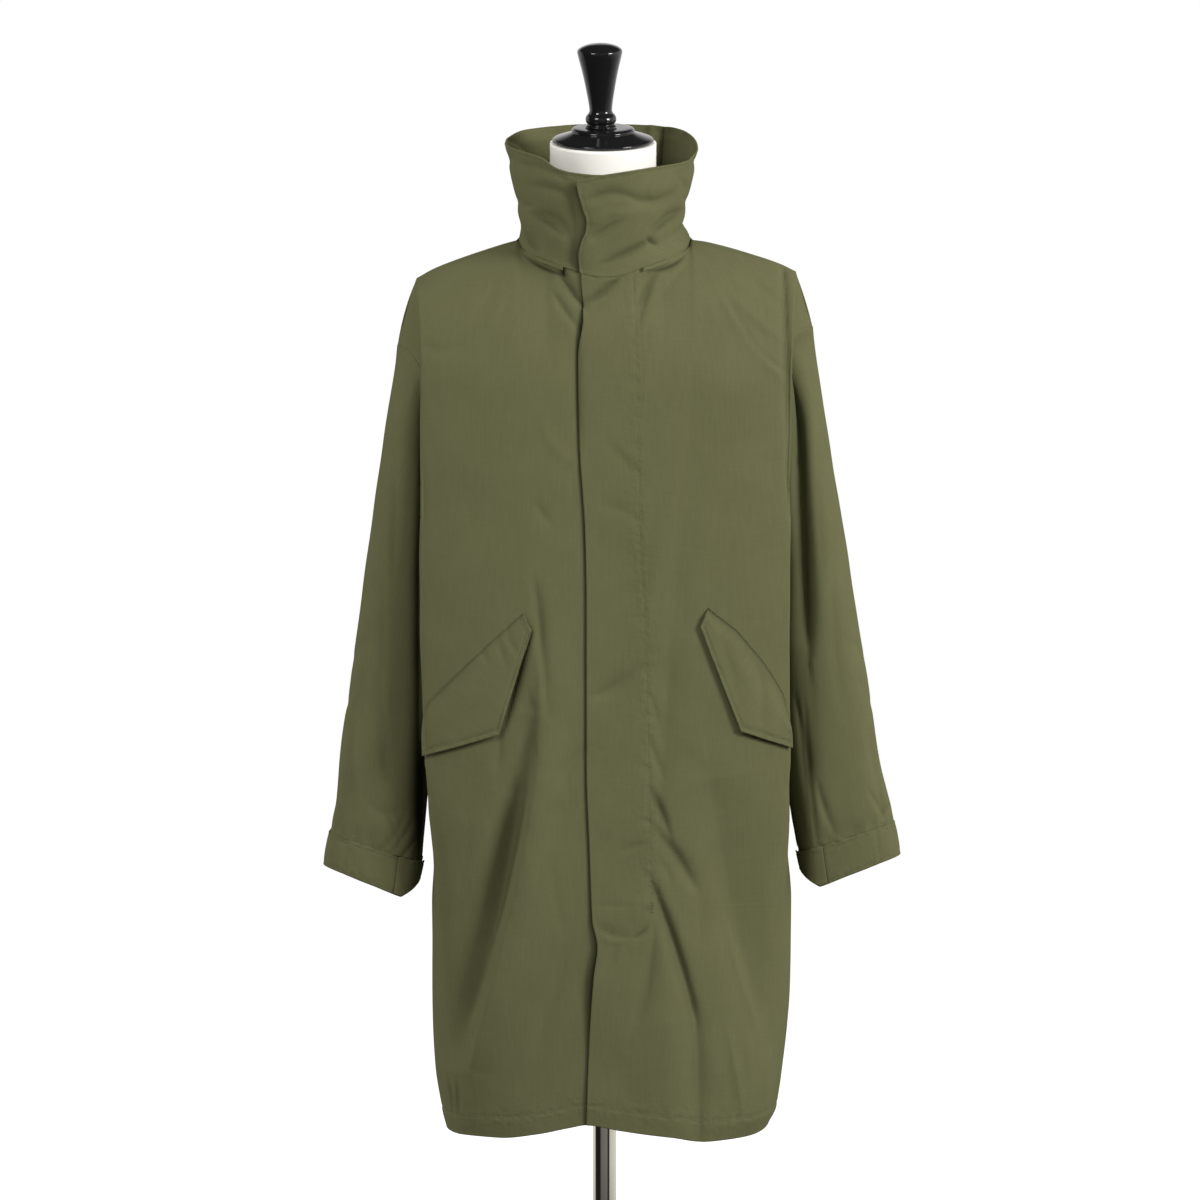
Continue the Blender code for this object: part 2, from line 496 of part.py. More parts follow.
def front_at(x, z, side):
    """Outer face of a front at x and height z, for what lies on it, as far out as the fold."""
    rows = columns(BODY_COLUMNS, BODY)
    wide = smooth(rows["z"], rows["fold_r" if side == RIGHT else "fold_l"], np.minimum(z, CHEST))
    return front(np.minimum(x / wide, 1.0), z, side)


# ---------------------------------------------------------------- Blender objects
def material(name, colour, roughness, metallic=0.0, coat=0.0):
    made = bpy.data.materials.new(name)
    made.use_nodes = True
    shader = made.node_tree.nodes["Principled BSDF"]
    shader.inputs["Base Color"].default_value = (*colour, 1.0)
    shader.inputs["Roughness"].default_value = roughness
    shader.inputs["Metallic"].default_value = metallic
    shader.inputs["Coat Weight"].default_value = coat
    return made


def mesh_object(name, points, faces, look):
    mesh = bpy.data.meshes.new(name)
    mesh.from_pydata([tuple(p) for p in points], [], faces)
    mesh.materials.append(look)
    made = bpy.data.objects.new(name, mesh)
    coat_collection.objects.link(made)
    return made


def sheet(name, grid, look, closed=False, flip=False, wall=CLOTH):
    """A cloth wall from a grid of points on its outer face; closed joins its last column to its first."""
    rows, cols = grid.shape[:2]
    points = grid.reshape(-1, 3)
    faces = []
    for r in range(rows - 1):
        for c in range(cols if closed else cols - 1):
            d = (c + 1) % cols
            face = (r * cols + c, r * cols + d, (r + 1) * cols + d, (r + 1) * cols + c)
            faces.append(face[::-1] if flip else face)
    made = mesh_object(name, points, faces, look)
    thick = made.modifiers.new("wall", "SOLIDIFY")
    thick.thickness = wall
    thick.offset = -1.0
    thick.use_even_offset = True
    thick.use_quality_normals = True
    return made


def turned(name, profile, look, steps=40, place=(0, 0, 0), lean=0.0):
    """A turned piece: its profile runs down its outer side, from the axis to the axis."""
    points = [(radius, 0.0, height) for radius, height in profile]
    edges = [(i, i + 1) for i in range(len(points) - 1)]
    mesh = bpy.data.meshes.new(name)
    mesh.from_pydata(points, edges, [])
    mesh.materials.append(look)
    made = bpy.data.objects.new(name, mesh)
    coat_collection.objects.link(made)
    screw = made.modifiers.new("turn", "SCREW")
    screw.steps = screw.render_steps = steps
    screw.use_merge_vertices = True
    screw.merge_threshold = 0.00005
    made.location = place
    made.rotation_euler = (lean, 0.0, 0.0)
    return made


def loft(name, rings, look):
    """A closed solid through rings of equal count, with flat ends."""
    count = len(rings[0])
    points = [tuple(p) for ring in rings for p in ring]
    faces = []
    for r in range(len(rings) - 1):
        for c in range(count):
            d = (c + 1) % count
            faces.append((r * count + c, r * count + d, (r + 1) * count + d, (r + 1) * count + c))
    faces.append(tuple(range(count))[::-1])
    faces.append(tuple((len(rings) - 1) * count + c for c in range(count)))
    return mesh_object(name, points, faces, look)


# ---------------------------------------------------------------- the scene
for old in list(bpy.data.objects):
    bpy.data.objects.remove(old, do_unlink=True)
coat_collection = bpy.data.collections.new("field_coat_on_form")
bpy.context.scene.collection.children.link(coat_collection)

olive = material("olive_cloth", (0.118, 0.118, 0.052), 0.62)
cream = material("cream_cover", (0.86, 0.82, 0.72), 0.75)
black = material("black_lacquer", (0.012, 0.012, 0.013), 0.16, coat=0.6)
steel = material("polished_steel", (0.62, 0.60, 0.57), 0.18, metallic=1.0)
base_paint = material("black_base", (0.012, 0.012, 0.013), 0.22, coat=0.4)


# Fronts: each from its free edge to the side and armhole seams, hem to neck and shoulder.
def make_front(name, side):
    shares, levels = front_grid(side)
    sheet(name, front(shares, levels, side), olive, flip=side == RIGHT)


make_front("front_right", RIGHT)
make_front("front_left", LEFT)


# Back: one piece from side seam to side seam.
def make_back():
    shares = np.array(BACK_STATIONS)
    levels = np.array(BODY_LEVELS)[:, None]
    right = body(shares[None, ::-1], levels, RIGHT, BACK)
    left = body(shares[None, 1:], levels, LEFT, BACK)
    sheet("back", np.concatenate([right, left], axis=1), olive, flip=True)


make_back()


# Collar: one strip round the neck that laps over itself, wearer's left on top.
def make_collar():
    angles = np.concatenate([
        np.linspace(COLLAR_START, 30, 6), np.linspace(42, 138, 9), np.linspace(150, 330, 15),
        np.linspace(340, COLLAR_END, 5),
    ])
    heights = np.array((0.0, 0.14, 0.32, 0.52, 0.72, 0.88, 1.0))[:, None]
    sheet("collar", collar(angles, heights), olive, flip=True)


make_collar()


# Sleeves, cuffs and cuff tabs.
def make_arm(side, word):
    turns = np.arange(SLEEVE_AROUND) / SLEEVE_AROUND
    steps = np.array(SLEEVE_STEPS)[:, None]
    sheet("sleeve_" + word, sleeve(turns, steps, side), olive, closed=True, flip=side == LEFT)
    turns = np.arange(CUFF_AROUND) / CUFF_AROUND
    down = np.array((SEAM * 2, CUFF_DEPTH * 0.5, CUFF_DEPTH))[:, None]
    sheet("cuff_" + word, cuff(turns, down, side), olive, closed=True, flip=side == LEFT)
    make_tab("cuff_tab_" + word, side)


def make_tab(name, side):
    """The tab lies on the cuff's front and turns round its inner side; its free end stands off, the
    lower corner cut."""
    along = np.linspace(0.0, 1.0, 9)
    turn = TAB_FROM + (TAB_TO - TAB_FROM) * along
    stands = TAB_STANDS + TAB_OUT * ease(TAB_LIFTS, 1.0, along) ** 1.5
    cut = TAB_CUT * ease(TAB_TAPERS, 1.0, along)
    rows = []
    for share in (0.02, 0.5, 1.0):
        down = TAB_INSET + (CUFF_DEPTH - 2 * TAB_INSET) * (share - cut * (share == 1.0))
        rows.append(cuff(turn, down, side, out=stands))
    sheet(name, np.stack(rows), olive, flip=side == RIGHT)


make_arm(RIGHT, "right")
make_arm(LEFT, "left")


# Pocket flaps: the front's own points, moved out.
def make_flap(name, side, rows):
    table = columns(FLAP_COLUMNS, rows)
    along = np.array((0.0, 0.15, 0.30, 0.43, 0.56, 0.68, 0.80, 0.90, 1.0))
    down = np.array((0.0, 0.33, 0.66, 1.0))[:, None]
    top_x, top_z, low_x, low_z = (np.interp(along, table["share"], table[n]) for n in FLAP_COLUMNS[1:])
    x = top_x + (low_x - top_x) * down
    z = top_z + (low_z - top_z) * down
    points = front_at(x, z, side)
    points[..., 1] -= FLAP_GAP + CLOTH + FLAP_LIFT * ease(0.0, 0.5, down)
    sheet(name, points, olive, flip=side == LEFT)


make_flap("pocket_flap_right", RIGHT, FLAP_RIGHT)
make_flap("pocket_flap_left", LEFT, FLAP_LEFT)


# Strips at the neck seam that the hood fastens to.
def make_hood_strip(name, side, near, far, stands):
    x = np.linspace(near, far, 5)
    levels = CROWN - STRIP_BELOW - np.array((0.0, STRIP_WIDTH))[:, None]
    points = front(x / (NECK_HALF / NECK_SHARE), levels, side)
    points += np.array((0.0, -stands, STRIP_RISES))
    sheet(name, points, olive, flip=side == LEFT, wall=STRIP_THICK)


for strip in HOOD_STRIPS:
    make_hood_strip(*strip)


# The form: covered torso and neck in one.
def make_form():
    angle = np.arange(FORM_AROUND) / FORM_AROUND * 2 * math.pi
    rings = []
    for z, half, front_depth, back_depth, y, lean in FORM:
        squared = FORM_SQUARE if z < FORM_ROUND_FROM else 1.0
        side_x = power(np.cos(angle), squared) * half + NECK_X * lean
        side_y = power(np.sin(angle), squared) * np.where(np.sin(angle) < 0, front_depth, back_depth)
        tilt = TILT * lean
        rings.append(np.stack([side_x, y + side_y * math.cos(tilt), z + side_y * math.sin(tilt)], axis=-1))
    loft("form_body", rings, cream)


make_form()
turned("neck_cap", CAP_PROFILE, black, steps=48, place=NECK_TOP, lean=TILT)
handle_foot = (HANDLE_X, *NECK_TOP[1:])
handle = turned("cap_handle", HANDLE_PROFILE, black, steps=32, place=handle_foot, lean=TILT)
handle.rotation_euler[1] = HANDLE_LEAN

# Pole, its socket and the base plate.
pole_top = FORM[0][0] - SEAM
pole_foot = BASE_THICK + SEAM
turned("pole", (
    (0, pole_top), (POLE_RADIUS, pole_top), (POLE_RADIUS, pole_foot), (0, pole_foot),
), steel, steps=32)
socket_top = BASE_THICK + SOCKET_HEIGHT
bore = POLE_RADIUS + SEAM
turned("pole_socket", (
    (bore, socket_top), (SOCKET_RADIUS - 0.010, socket_top),
    (SOCKET_RADIUS - 0.007, socket_top - 0.003), (SOCKET_RADIUS - 0.006, pole_foot + 0.012),
    (SOCKET_RADIUS, pole_foot + 0.006), (SOCKET_RADIUS, pole_foot), (bore, pole_foot), (bore, socket_top),
), steel, steps=32)
turned("base_plate", (
    (0, BASE_THICK), (BASE_RADIUS - 0.002, BASE_THICK), (BASE_RADIUS, BASE_THICK - 0.002),
    (BASE_RADIUS, 0.0), (0, 0.0),
), base_paint, steps=64)
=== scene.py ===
"""Olive field coat with a funnel collar, worn on a limbless dress form with a turned cap and a pole."""

import math

import bmesh
import bpy
import numpy as np
from mathutils import Matrix, Vector


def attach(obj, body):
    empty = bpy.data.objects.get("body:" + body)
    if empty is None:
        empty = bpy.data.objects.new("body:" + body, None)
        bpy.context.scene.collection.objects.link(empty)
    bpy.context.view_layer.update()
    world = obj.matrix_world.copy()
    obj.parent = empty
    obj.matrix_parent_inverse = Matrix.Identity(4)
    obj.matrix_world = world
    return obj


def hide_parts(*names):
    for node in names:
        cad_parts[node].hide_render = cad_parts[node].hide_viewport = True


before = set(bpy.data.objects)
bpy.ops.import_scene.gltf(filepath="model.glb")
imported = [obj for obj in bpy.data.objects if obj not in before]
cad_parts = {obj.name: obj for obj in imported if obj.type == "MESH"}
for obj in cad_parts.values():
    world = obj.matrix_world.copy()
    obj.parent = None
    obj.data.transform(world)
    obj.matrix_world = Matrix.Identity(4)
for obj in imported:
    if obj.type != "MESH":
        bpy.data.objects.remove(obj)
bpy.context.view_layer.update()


# ---------------------------------------------------------------- dress form: covered torso and neck
# A limbless torso with a short neck that leans forward. Padding under a cream cotton cover drawn
# tight and smooth; the coat hangs on it from the shoulders.
FORM_COLUMNS = "z half front back y lean".split()
FORM = (
    (0.740, 0.160, 0.104, 0.100, 0.000, 0.0),
    (0.800, 0.165, 0.108, 0.106, 0.000, 0.0),
    (0.870, 0.160, 0.106, 0.104, 0.000, 0.0),
    (0.960, 0.142, 0.098, 0.092, 0.000, 0.0),
    (1.040, 0.142, 0.098, 0.090, 0.000, 0.0),
    (1.130, 0.156, 0.108, 0.096, 0.000, 0.0),
    (1.220, 0.166, 0.110, 0.102, 0.000, 0.0),
    (1.290, 0.178, 0.098, 0.100, 0.000, 0.0),
    (1.340, 0.186, 0.080, 0.086, 0.000, 0.0),
    (1.368, 0.191, 0.062, 0.070, 0.000, 0.0),
    (1.384, 0.188, 0.052, 0.060, 0.000, 0.0),
    (1.394, 0.176, 0.046, 0.052, 0.000, 0.0),
    (1.404, 0.154, 0.042, 0.048, 0.000, 0.0),
    (1.414, 0.128, 0.041, 0.046, -0.002, 0.0),
    (1.423, 0.1015, 0.046, 0.048, -0.006, 0.0),
    (1.433, 0.082, 0.053, 0.052, -0.010, 0.2),
    (1.448, 0.068, 0.058, 0.057, -0.016, 0.6),
    (1.470, 0.0620, 0.0600, 0.0595, -0.0220, 0.9),
    (1.500, 0.0605, 0.0605, 0.0605, -0.0295, 1.0),
    (1.5418, 0.0605, 0.0605, 0.0605, -0.0399, 1.0),
)
TILT = math.radians(14)  # forward lean of the neck and of all that stands on it
NECK_X = -0.0018
NECK_EDGE, NECK_RADIUS = 0.0022, 0.06  # the cover turns over the neck's rim on the first radius
FORM_WAIST_ROWS, FORM_NECK_ROWS, FORM_ROUND = 50, 60, 120  # points up it and round it
FORM_SPLIT = 1.36  # from here up the rows lie closer
FORM_BOXY, ROUND_FROM, ROUND_AT = 0.88, 1.40, 1.43  # its section is a little boxy, the neck's is round
COVER = (0.93, 0.915, 0.86)
COVER_WARM = (0.90, 0.86, 0.76)


def columns(names, rows):
    """The table's columns by name."""
    return dict(zip(names, np.array(rows, float).T))


def smooth(keys, values, at):
    """Values at points between the keys, on a curve that never swings past a row."""
    keys = np.asarray(keys, float)
    values = np.asarray(values, float)
    at = np.clip(np.asarray(at, float), keys[0], keys[-1])
    step = np.diff(keys)
    slope = np.diff(values) / step
    tangent = np.zeros(len(keys))
    inner = slope[:-1] * slope[1:] > 0
    tangent[1:-1][inner] = 2 * slope[:-1][inner] * slope[1:][inner] / (slope[:-1] + slope[1:])[inner]
    tangent[0], tangent[-1] = slope[0], slope[-1]
    i = np.clip(np.searchsorted(keys, at, side="right") - 1, 0, len(step) - 1)
    w = (at - keys[i]) / step[i]
    start = (1 + 2 * w) * (1 - w) ** 2 * values[i] + w * (1 - w) ** 2 * step[i] * tangent[i]
    return start + w**2 * (3 - 2 * w) * values[i + 1] + w**2 * (w - 1) * step[i] * tangent[i + 1]


def ease(low, high, at):
    w = np.clip((at - low) / (high - low), 0.0, 1.0)
    return w * w * (3 - 2 * w)


def power(value, exponent):
    return np.sign(value) * np.abs(value) ** exponent


def bump(off, width):
    """1 on a line, falling away evenly on both sides of it."""
    return np.exp(-((off / width) ** 2))


def fade(off, reach):
    """1 at an edge or seam, falling away from it."""
    return np.exp(-np.abs(off) / reach)


def mesh_piece(name, points, faces, look, merge=0.0):
    """A piece of the object, smooth and with its faces turned outward."""
    mesh = bpy.data.meshes.new(name)
    mesh.from_pydata(points.tolist(), [], faces)
    work = bmesh.new()
    work.from_mesh(mesh)
    if merge:
        bmesh.ops.remove_doubles(work, verts=work.verts, dist=merge)
    bmesh.ops.recalc_face_normals(work, faces=work.faces)
    work.to_mesh(mesh)
    work.free()
    mesh.polygons.foreach_set("use_smooth", np.ones(len(mesh.polygons), bool))
    mesh.materials.append(look)
    made = bpy.data.objects.new(name, mesh)
    bpy.context.scene.collection.objects.link(made)
    return made


def quads(index, closed):
    """Faces over a grid of point numbers; closed joins its last column to its first."""
    if closed:
        index = np.concatenate([index, index[:, :1]], axis=1)
    corners = (index[:-1, :-1], index[:-1, 1:], index[1:, 1:], index[1:, :-1])
    return np.stack([c.ravel() for c in corners], axis=1).tolist()


class Value:
    """A value in a shader that formulas can be written with."""

    def __init__(self, tree, socket):
        self.tree = tree
        self.socket = socket

    def node(self, kind, inputs, output=0, **settings):
        made = self.tree.nodes.new("ShaderNode" + kind)
        for name, setting in settings.items():
            setattr(made, name, setting)
        for name, value in inputs.items():
            if isinstance(value, Value):
                self.tree.links.new(value.socket, made.inputs[name])
            else:
                made.inputs[name].default_value = value
        return Value(self.tree, made.outputs[output])

    def maths(self, operation, first, second=0.0):
        return self.node("Math", {0: first, 1: second}, operation=operation)

    def __add__(self, other):
        return self.maths("ADD", self, other)

    def __radd__(self, other):
        return self.maths("ADD", other, self)

    def __sub__(self, other):
        return self.maths("SUBTRACT", self, other)

    def __rsub__(self, other):
        return self.maths("SUBTRACT", other, self)

    def __mul__(self, other):
        return self.maths("MULTIPLY", self, other)

    def __rmul__(self, other):
        return self.maths("MULTIPLY", other, self)

    def colours(self, low, high):
        """The mix of two colours with this value as the share of the second."""
        low, high = (c if isinstance(c, Value) else (*c, 1.0) for c in (low, high))
        inputs = {0: self, 6: low, 7: high}
        return self.node("Mix", inputs, output=2, data_type="RGBA", clamp_factor=True)


def finish_look(name, **fixed):
    """A new material, its Principled shader with fixed settings, and a value to build from."""
    made = bpy.data.materials.new(name)
    made.use_nodes = True
    shader = made.node_tree.nodes["Principled BSDF"]
    for socket, value in fixed.items():
        shader.inputs[socket.replace("_", " ")].default_value = value
    return made, shader, Value(made.node_tree, None)


def feed(shader, socket, value):
    value.tree.links.new(value.socket, shader.inputs[socket])


def noise(start, place, scale, detail=2.0, stretch=(1.0, 1.0, 1.0)):
    """Noise from 0 to 1 about 0.5; scale is spots per metre."""
    scaled = start.node("VectorMath", {0: place, 1: stretch}, operation="MULTIPLY")
    return start.node("TexNoise", {"Vector": scaled, "Scale": scale, "Detail": detail})


def dented(start, height):
    """A surface direction from a height in metres."""
    return start.node("Bump", {"Height": height, "Strength": 1.0, "Distance": 1.0})


def cover_look():
    look, shader, start = finish_look("cream_cover", Roughness=0.78, Sheen_Weight=0.15)
    place = start.node("TexCoord", {}, output="Object")
    soft = noise(start, place, 22.0)
    thread = noise(start, place, 900.0, stretch=(1.0, 1.0, 0.45))
    feed(shader, "Base Color", (soft * 0.5 + thread * 0.2).colours(COVER, COVER_WARM))
    feed(shader, "Normal", dented(start, soft * 0.0006 + thread * 0.00008))
    return look


def form_rings():
    table = columns(FORM_COLUMNS, FORM)
    levels = np.concatenate([np.linspace(FORM[0][0], FORM_SPLIT, FORM_WAIST_ROWS),
                             np.linspace(FORM_SPLIT + 0.004, FORM[-1][0], FORM_NECK_ROWS)])
    row = {name: smooth(table["z"], table[name], levels)[:, None] for name in FORM_COLUMNS}
    angle = np.linspace(0, 2 * math.pi, FORM_ROUND, endpoint=False)
    squared = FORM_BOXY + (1 - FORM_BOXY) * ease(ROUND_FROM, ROUND_AT, row["z"])
    side_x = power(np.cos(angle), squared) * row["half"] + NECK_X * row["lean"]
    side_y = power(np.sin(angle), squared) * np.where(np.sin(angle) < 0, row["front"], row["back"])
    tilt = TILT * row["lean"]
    rings = np.stack([side_x, row["y"] + side_y * np.cos(tilt), row["z"] + side_y * np.sin(tilt)], axis=-1)
    ends = []
    for ring, turned_in in ((rings[0], 0.0), (rings[-1], NECK_EDGE)):
        middle = ring.mean(axis=0)
        ends.append([middle + (ring - middle) * share for share in (1 - turned_in / NECK_RADIUS, 0.5, 1e-6)])
    return np.stack([*ends[0][::-1], *rings, *ends[1]])


rings = form_rings()
index = np.arange(rings.shape[0] * rings.shape[1]).reshape(rings.shape[:2])
form_body = mesh_piece("form_cover", rings.reshape(-1, 3), quads(index, True), cover_look(), merge=2e-6)
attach(form_body, "root")
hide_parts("form_body")


# ---------------------------------------------------------------- neck cap and handle
# Two lathe-turned wooden pieces in black lacquer: a wide cap over the neck and the handle screwed
# into it, by which the form is lifted.
NECK_TOP = (NECK_X, -0.0399, 1.5418)
HANDLE_X, HANDLE_LEAN = -0.0038, math.radians(-1.0)
CAP_PROFILE = (  # radius, height over the neck's top
    (0.0000, 0.0176), (0.0300, 0.0176), (0.0345, 0.0168), (0.0361, 0.0146), (0.0352, 0.0126),
    (0.0400, 0.0106), (0.0500, 0.0074), (0.0562, 0.0054), (0.0580, 0.0036), (0.0572, 0.0016),
    (0.0550, 0.0004), (0.0000, 0.0004),
)
HANDLE_PROFILE = (
    (0.0000, 0.1136), (0.0120, 0.1126), (0.0205, 0.1098), (0.0250, 0.1066), (0.0258, 0.1040),
    (0.0243, 0.0970), (0.0207, 0.0830), (0.0178, 0.0690), (0.0161, 0.0596), (0.0144, 0.0503),
    (0.0130, 0.0400), (0.0128, 0.0366), (0.0140, 0.0338), (0.0168, 0.0310), (0.0178, 0.0275),
    (0.0170, 0.0240), (0.0150, 0.0218), (0.0165, 0.0202), (0.0190, 0.0184), (0.0000, 0.0184),
)
LACQUER = (0.0085, 0.0085, 0.0090)


def rounded(profile, cut=0.22):
    """The profile with its corners cut twice; its ends stay."""
    line = np.array(profile)
    for _ in range(2):
        first = line[:-1] + (line[1:] - line[:-1]) * cut
        second = line[1:] - (line[1:] - line[:-1]) * cut
        line = np.concatenate([line[:1], np.stack([first, second], axis=1).reshape(-1, 2)[1:-1], line[-1:]])
    return line


def turned(name, profile, look, steps=96, place=(0.0, 0.0, 0.0), tilt=0.0, lean=0.0):
    """A piece turned on a lathe, its profile running down its outer side."""
    radius, height = np.array(profile).T
    angle = np.linspace(0, 2 * math.pi, steps, endpoint=False)
    rings = np.stack(np.broadcast_arrays(
        radius[:, None] * np.cos(angle), radius[:, None] * np.sin(angle), height[:, None]), axis=-1)
    turn = np.array(Matrix.Rotation(tilt, 3, "X") @ Matrix.Rotation(lean, 3, "Y"))
    points = rings.reshape(-1, 3) @ turn.T + np.array(place)
    index = np.arange(len(points)).reshape(rings.shape[:2])
    return mesh_piece(name, points, quads(index, True), look, merge=2e-6)


def lacquer_look(name, colour, roughness):
    look, shader, start = finish_look(name, Specular_IOR_Level=0.5)
    shader.inputs["Base Color"].default_value = (*colour, 1.0)
    place = start.node("TexCoord", {}, output="Object")
    feed(shader, "Roughness", noise(start, place, 60.0, detail=4.0) * 0.06 + roughness)
    feed(shader, "Normal", dented(start, noise(start, place, 45.0) * 0.00005))
    return look


lacquer = lacquer_look("black_lacquer", LACQUER, 0.10)
cap = turned("cap_turned", rounded(CAP_PROFILE), lacquer, 128, NECK_TOP, TILT)
handle_foot = (HANDLE_X, *NECK_TOP[1:])
handle = turned("handle_turned", rounded(HANDLE_PROFILE), lacquer, 112, handle_foot, TILT, HANDLE_LEAN)
for piece, node in ((cap, "neck_cap"), (handle, "cap_handle")):
    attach(piece, "root")
    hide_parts(node)


# ---------------------------------------------------------------- pole, socket and base
# A polished steel tube that carries the form, in a turned steel socket on a round base plate of
# painted steel.
FORM_FOOT = 0.740
BASE_RADIUS, BASE_THICK = 0.190, 0.010
POLE_RADIUS, POLE_END = 0.0136, 0.0012  # the second is the bevel at its ends
SOCKET_RADIUS, SOCKET_HEIGHT = 0.030, 0.045
GAP = 0.0003  # between parts that touch
# Painted reflection: the steel's warm tint stands in for the brown surroundings the polished tube reflects.
STEEL = (0.66, 0.645, 0.55)
BASE_PAINT = (0.011, 0.011, 0.012)


def steel_look():
    look, shader, start = finish_look("polished_steel", Metallic=1.0)
    place = start.node("TexCoord", {}, output="Object")
    seam_tone = noise(start, place, 300.0, stretch=(1.0, 1.0, 0.03))
    cloudy = noise(start, place, 12.0)
    feed(shader, "Base Color", cloudy.colours(STEEL, tuple(c * 0.86 for c in STEEL)))
    feed(shader, "Roughness", seam_tone * 0.06 + cloudy * 0.05 + 0.07)
    return look


steel = steel_look()
pole_foot = BASE_THICK + GAP
pole_top = FORM_FOOT - GAP
pole = turned("pole_tube", (
    (0, pole_top), (POLE_RADIUS - POLE_END, pole_top), (POLE_RADIUS, pole_top - POLE_END),
    (POLE_RADIUS, pole_foot + POLE_END), (POLE_RADIUS - POLE_END, pole_foot), (0, pole_foot)), steel, 96)
socket_top = BASE_THICK + SOCKET_HEIGHT
bore = POLE_RADIUS + GAP
socket = turned("socket_turned", (
    (bore, socket_top), (SOCKET_RADIUS - 0.012, socket_top), (SOCKET_RADIUS - 0.010, socket_top - 0.0004),
    (SOCKET_RADIUS - 0.0078, socket_top - 0.002), (SOCKET_RADIUS - 0.007, socket_top - 0.004),
    (SOCKET_RADIUS - 0.0062, pole_foot + 0.013), (SOCKET_RADIUS - 0.004, pole_foot + 0.009),
    (SOCKET_RADIUS - 0.0008, pole_foot + 0.0066), (SOCKET_RADIUS, pole_foot + 0.005),
    (SOCKET_RADIUS, pole_foot), (bore, pole_foot), (bore, socket_top)), steel, 96)
base = turned("base_turned", (
    (0, BASE_THICK), (BASE_RADIUS - 0.004, BASE_THICK), (BASE_RADIUS - 0.002, BASE_THICK - 0.0004),
    (BASE_RADIUS - 0.0006, BASE_THICK - 0.0016), (BASE_RADIUS, BASE_THICK - 0.0034),
    (BASE_RADIUS, 0.0008), (BASE_RADIUS - 0.0008, 0.0), (0, 0.0)),
    lacquer_look("base_paint", BASE_PAINT, 0.22), 160)
for piece, node, slot in (
    (pole, "pole", "polished_steel"), (socket, "pole_socket", "polished_steel"),
    (base, "base_plate", "black_base"),
):
    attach(piece, "root")
    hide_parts(node)


# ---------------------------------------------------------------- fronts
# Two fronts of dense olive cotton. The wearer's left one laps over the right one on a stitched
# fly; creases hang from the neck, the hips and the fly's bar tack.
RIGHT, LEFT = -1, 1  # the wearer's sides, as signs of x
FRONT, BACK = -1, 1  # signs of y
WALL, WALL_EDGE = 0.0019, (0.30, 0.28)  # the edge stands out and is rounded by these shares of it
LAP = 0.0028
CHEST, CROWN, UNDERARM, HEM = 1.250, 1.450, 1.130, 0.4175
BODY_COLUMNS = "z fold_r fold_l front corner side_r side_l bow dip back blade blade_x".split()
BODY = (
    (0.418, 0.160, 0.166, 0.140, 0.098, 0.1810, 0.1880, 0.001, 0.055, 0.128, 0.085, 0.148),
    (0.436, 0.164, 0.174, 0.140, 0.100, 0.1860, 0.1975, 0.001, 0.056, 0.129, 0.086, 0.152),
    (0.489, 0.172, 0.182, 0.139, 0.102, 0.1950, 0.2050, 0.001, 0.058, 0.130, 0.088, 0.158),
    (0.558, 0.178, 0.189, 0.138, 0.102, 0.1973, 0.2120, 0.001, 0.060, 0.130, 0.088, 0.162),
    (0.616, 0.182, 0.194, 0.137, 0.101, 0.1977, 0.2145, 0.001, 0.061, 0.129, 0.088, 0.164),
    (0.674, 0.187, 0.200, 0.136, 0.100, 0.1973, 0.2148, 0.001, 0.064, 0.128, 0.087, 0.165),
    (0.732, 0.193, 0.206, 0.135, 0.099, 0.1925, 0.2080, 0.003, 0.068, 0.127, 0.086, 0.165),
    (0.790, 0.202, 0.211, 0.134, 0.101, 0.1850, 0.1960, 0.008, 0.078, 0.126, 0.085, 0.165),
    (0.850, 0.2036, 0.210, 0.133, 0.102, 0.1790, 0.1850, 0.012, 0.086, 0.125, 0.084, 0.166),
    (0.911, 0.2058, 0.2087, 0.132, 0.103, 0.1755, 0.1800, 0.014, 0.090, 0.124, 0.083, 0.167),
    (1.000, 0.2090, 0.2086, 0.131, 0.104, 0.1730, 0.1760, 0.015, 0.092, 0.122, 0.082, 0.170),
    (1.130, 0.2086, 0.2095, 0.130, 0.104, 0.1720, 0.1750, 0.015, 0.092, 0.121, 0.082, 0.176),
    (1.250, 0.2080, 0.2115, 0.128, 0.101, 0.1720, 0.1750, 0.018, 0.088, 0.120, 0.086, 0.190),
)
ARM_COLUMNS = "level x deep z turn_x turn_y lift".split()
ARMHOLE = (
    (1.130, 0.1720, 0.000, 1.1300, 0.187, 0.092, 0.000),
    (1.165, 0.1790, 0.036, 1.1470, 0.189, 0.090, 0.000),
    (1.210, 0.1880, 0.059, 1.1880, 0.192, 0.088, 0.000),
    (1.270, 0.1970, 0.067, 1.2400, 0.196, 0.082, 0.000),
    (1.330, 0.2080, 0.062, 1.2830, 0.204, 0.073, 0.002),
    (1.390, 0.2230, 0.042, 1.3040, 0.217, 0.055, 0.006),
    (1.441, 0.2367, 0.008, 1.3126, 0.2285, 0.0105, 0.0118),
    (1.450, 0.2375, 0.000, 1.3130, 0.229, 0.000, 0.012),
)
ARMHOLE_LEFT_LOW, ARMHOLE_LEFT_X, ARMHOLE_LEFT_Z, ARMHOLE_LEFT_BOW = 0.003, 0.0010, 0.021, 0.016
SHOULDER_FLAT = 0.0024  # the cloth spans this much straighter from the shoulder to the armhole
SHOULDER_COLUMNS = "share x_r z_r x_l z_l".split()
SHOULDER = (
    (0.475, 0.0985, 1.4335, 0.0985, 1.4335),
    (0.550, 0.1150, 1.4290, 0.1140, 1.4315),
    (0.640, 0.1340, 1.4230, 0.1340, 1.4270),
    (0.780, 0.1650, 1.4125, 0.1670, 1.4175),
    (0.920, 0.1965, 1.4000, 0.2010, 1.4060),
    (1.000, 0.2150, 1.3895, 0.2185, 1.3975),
)
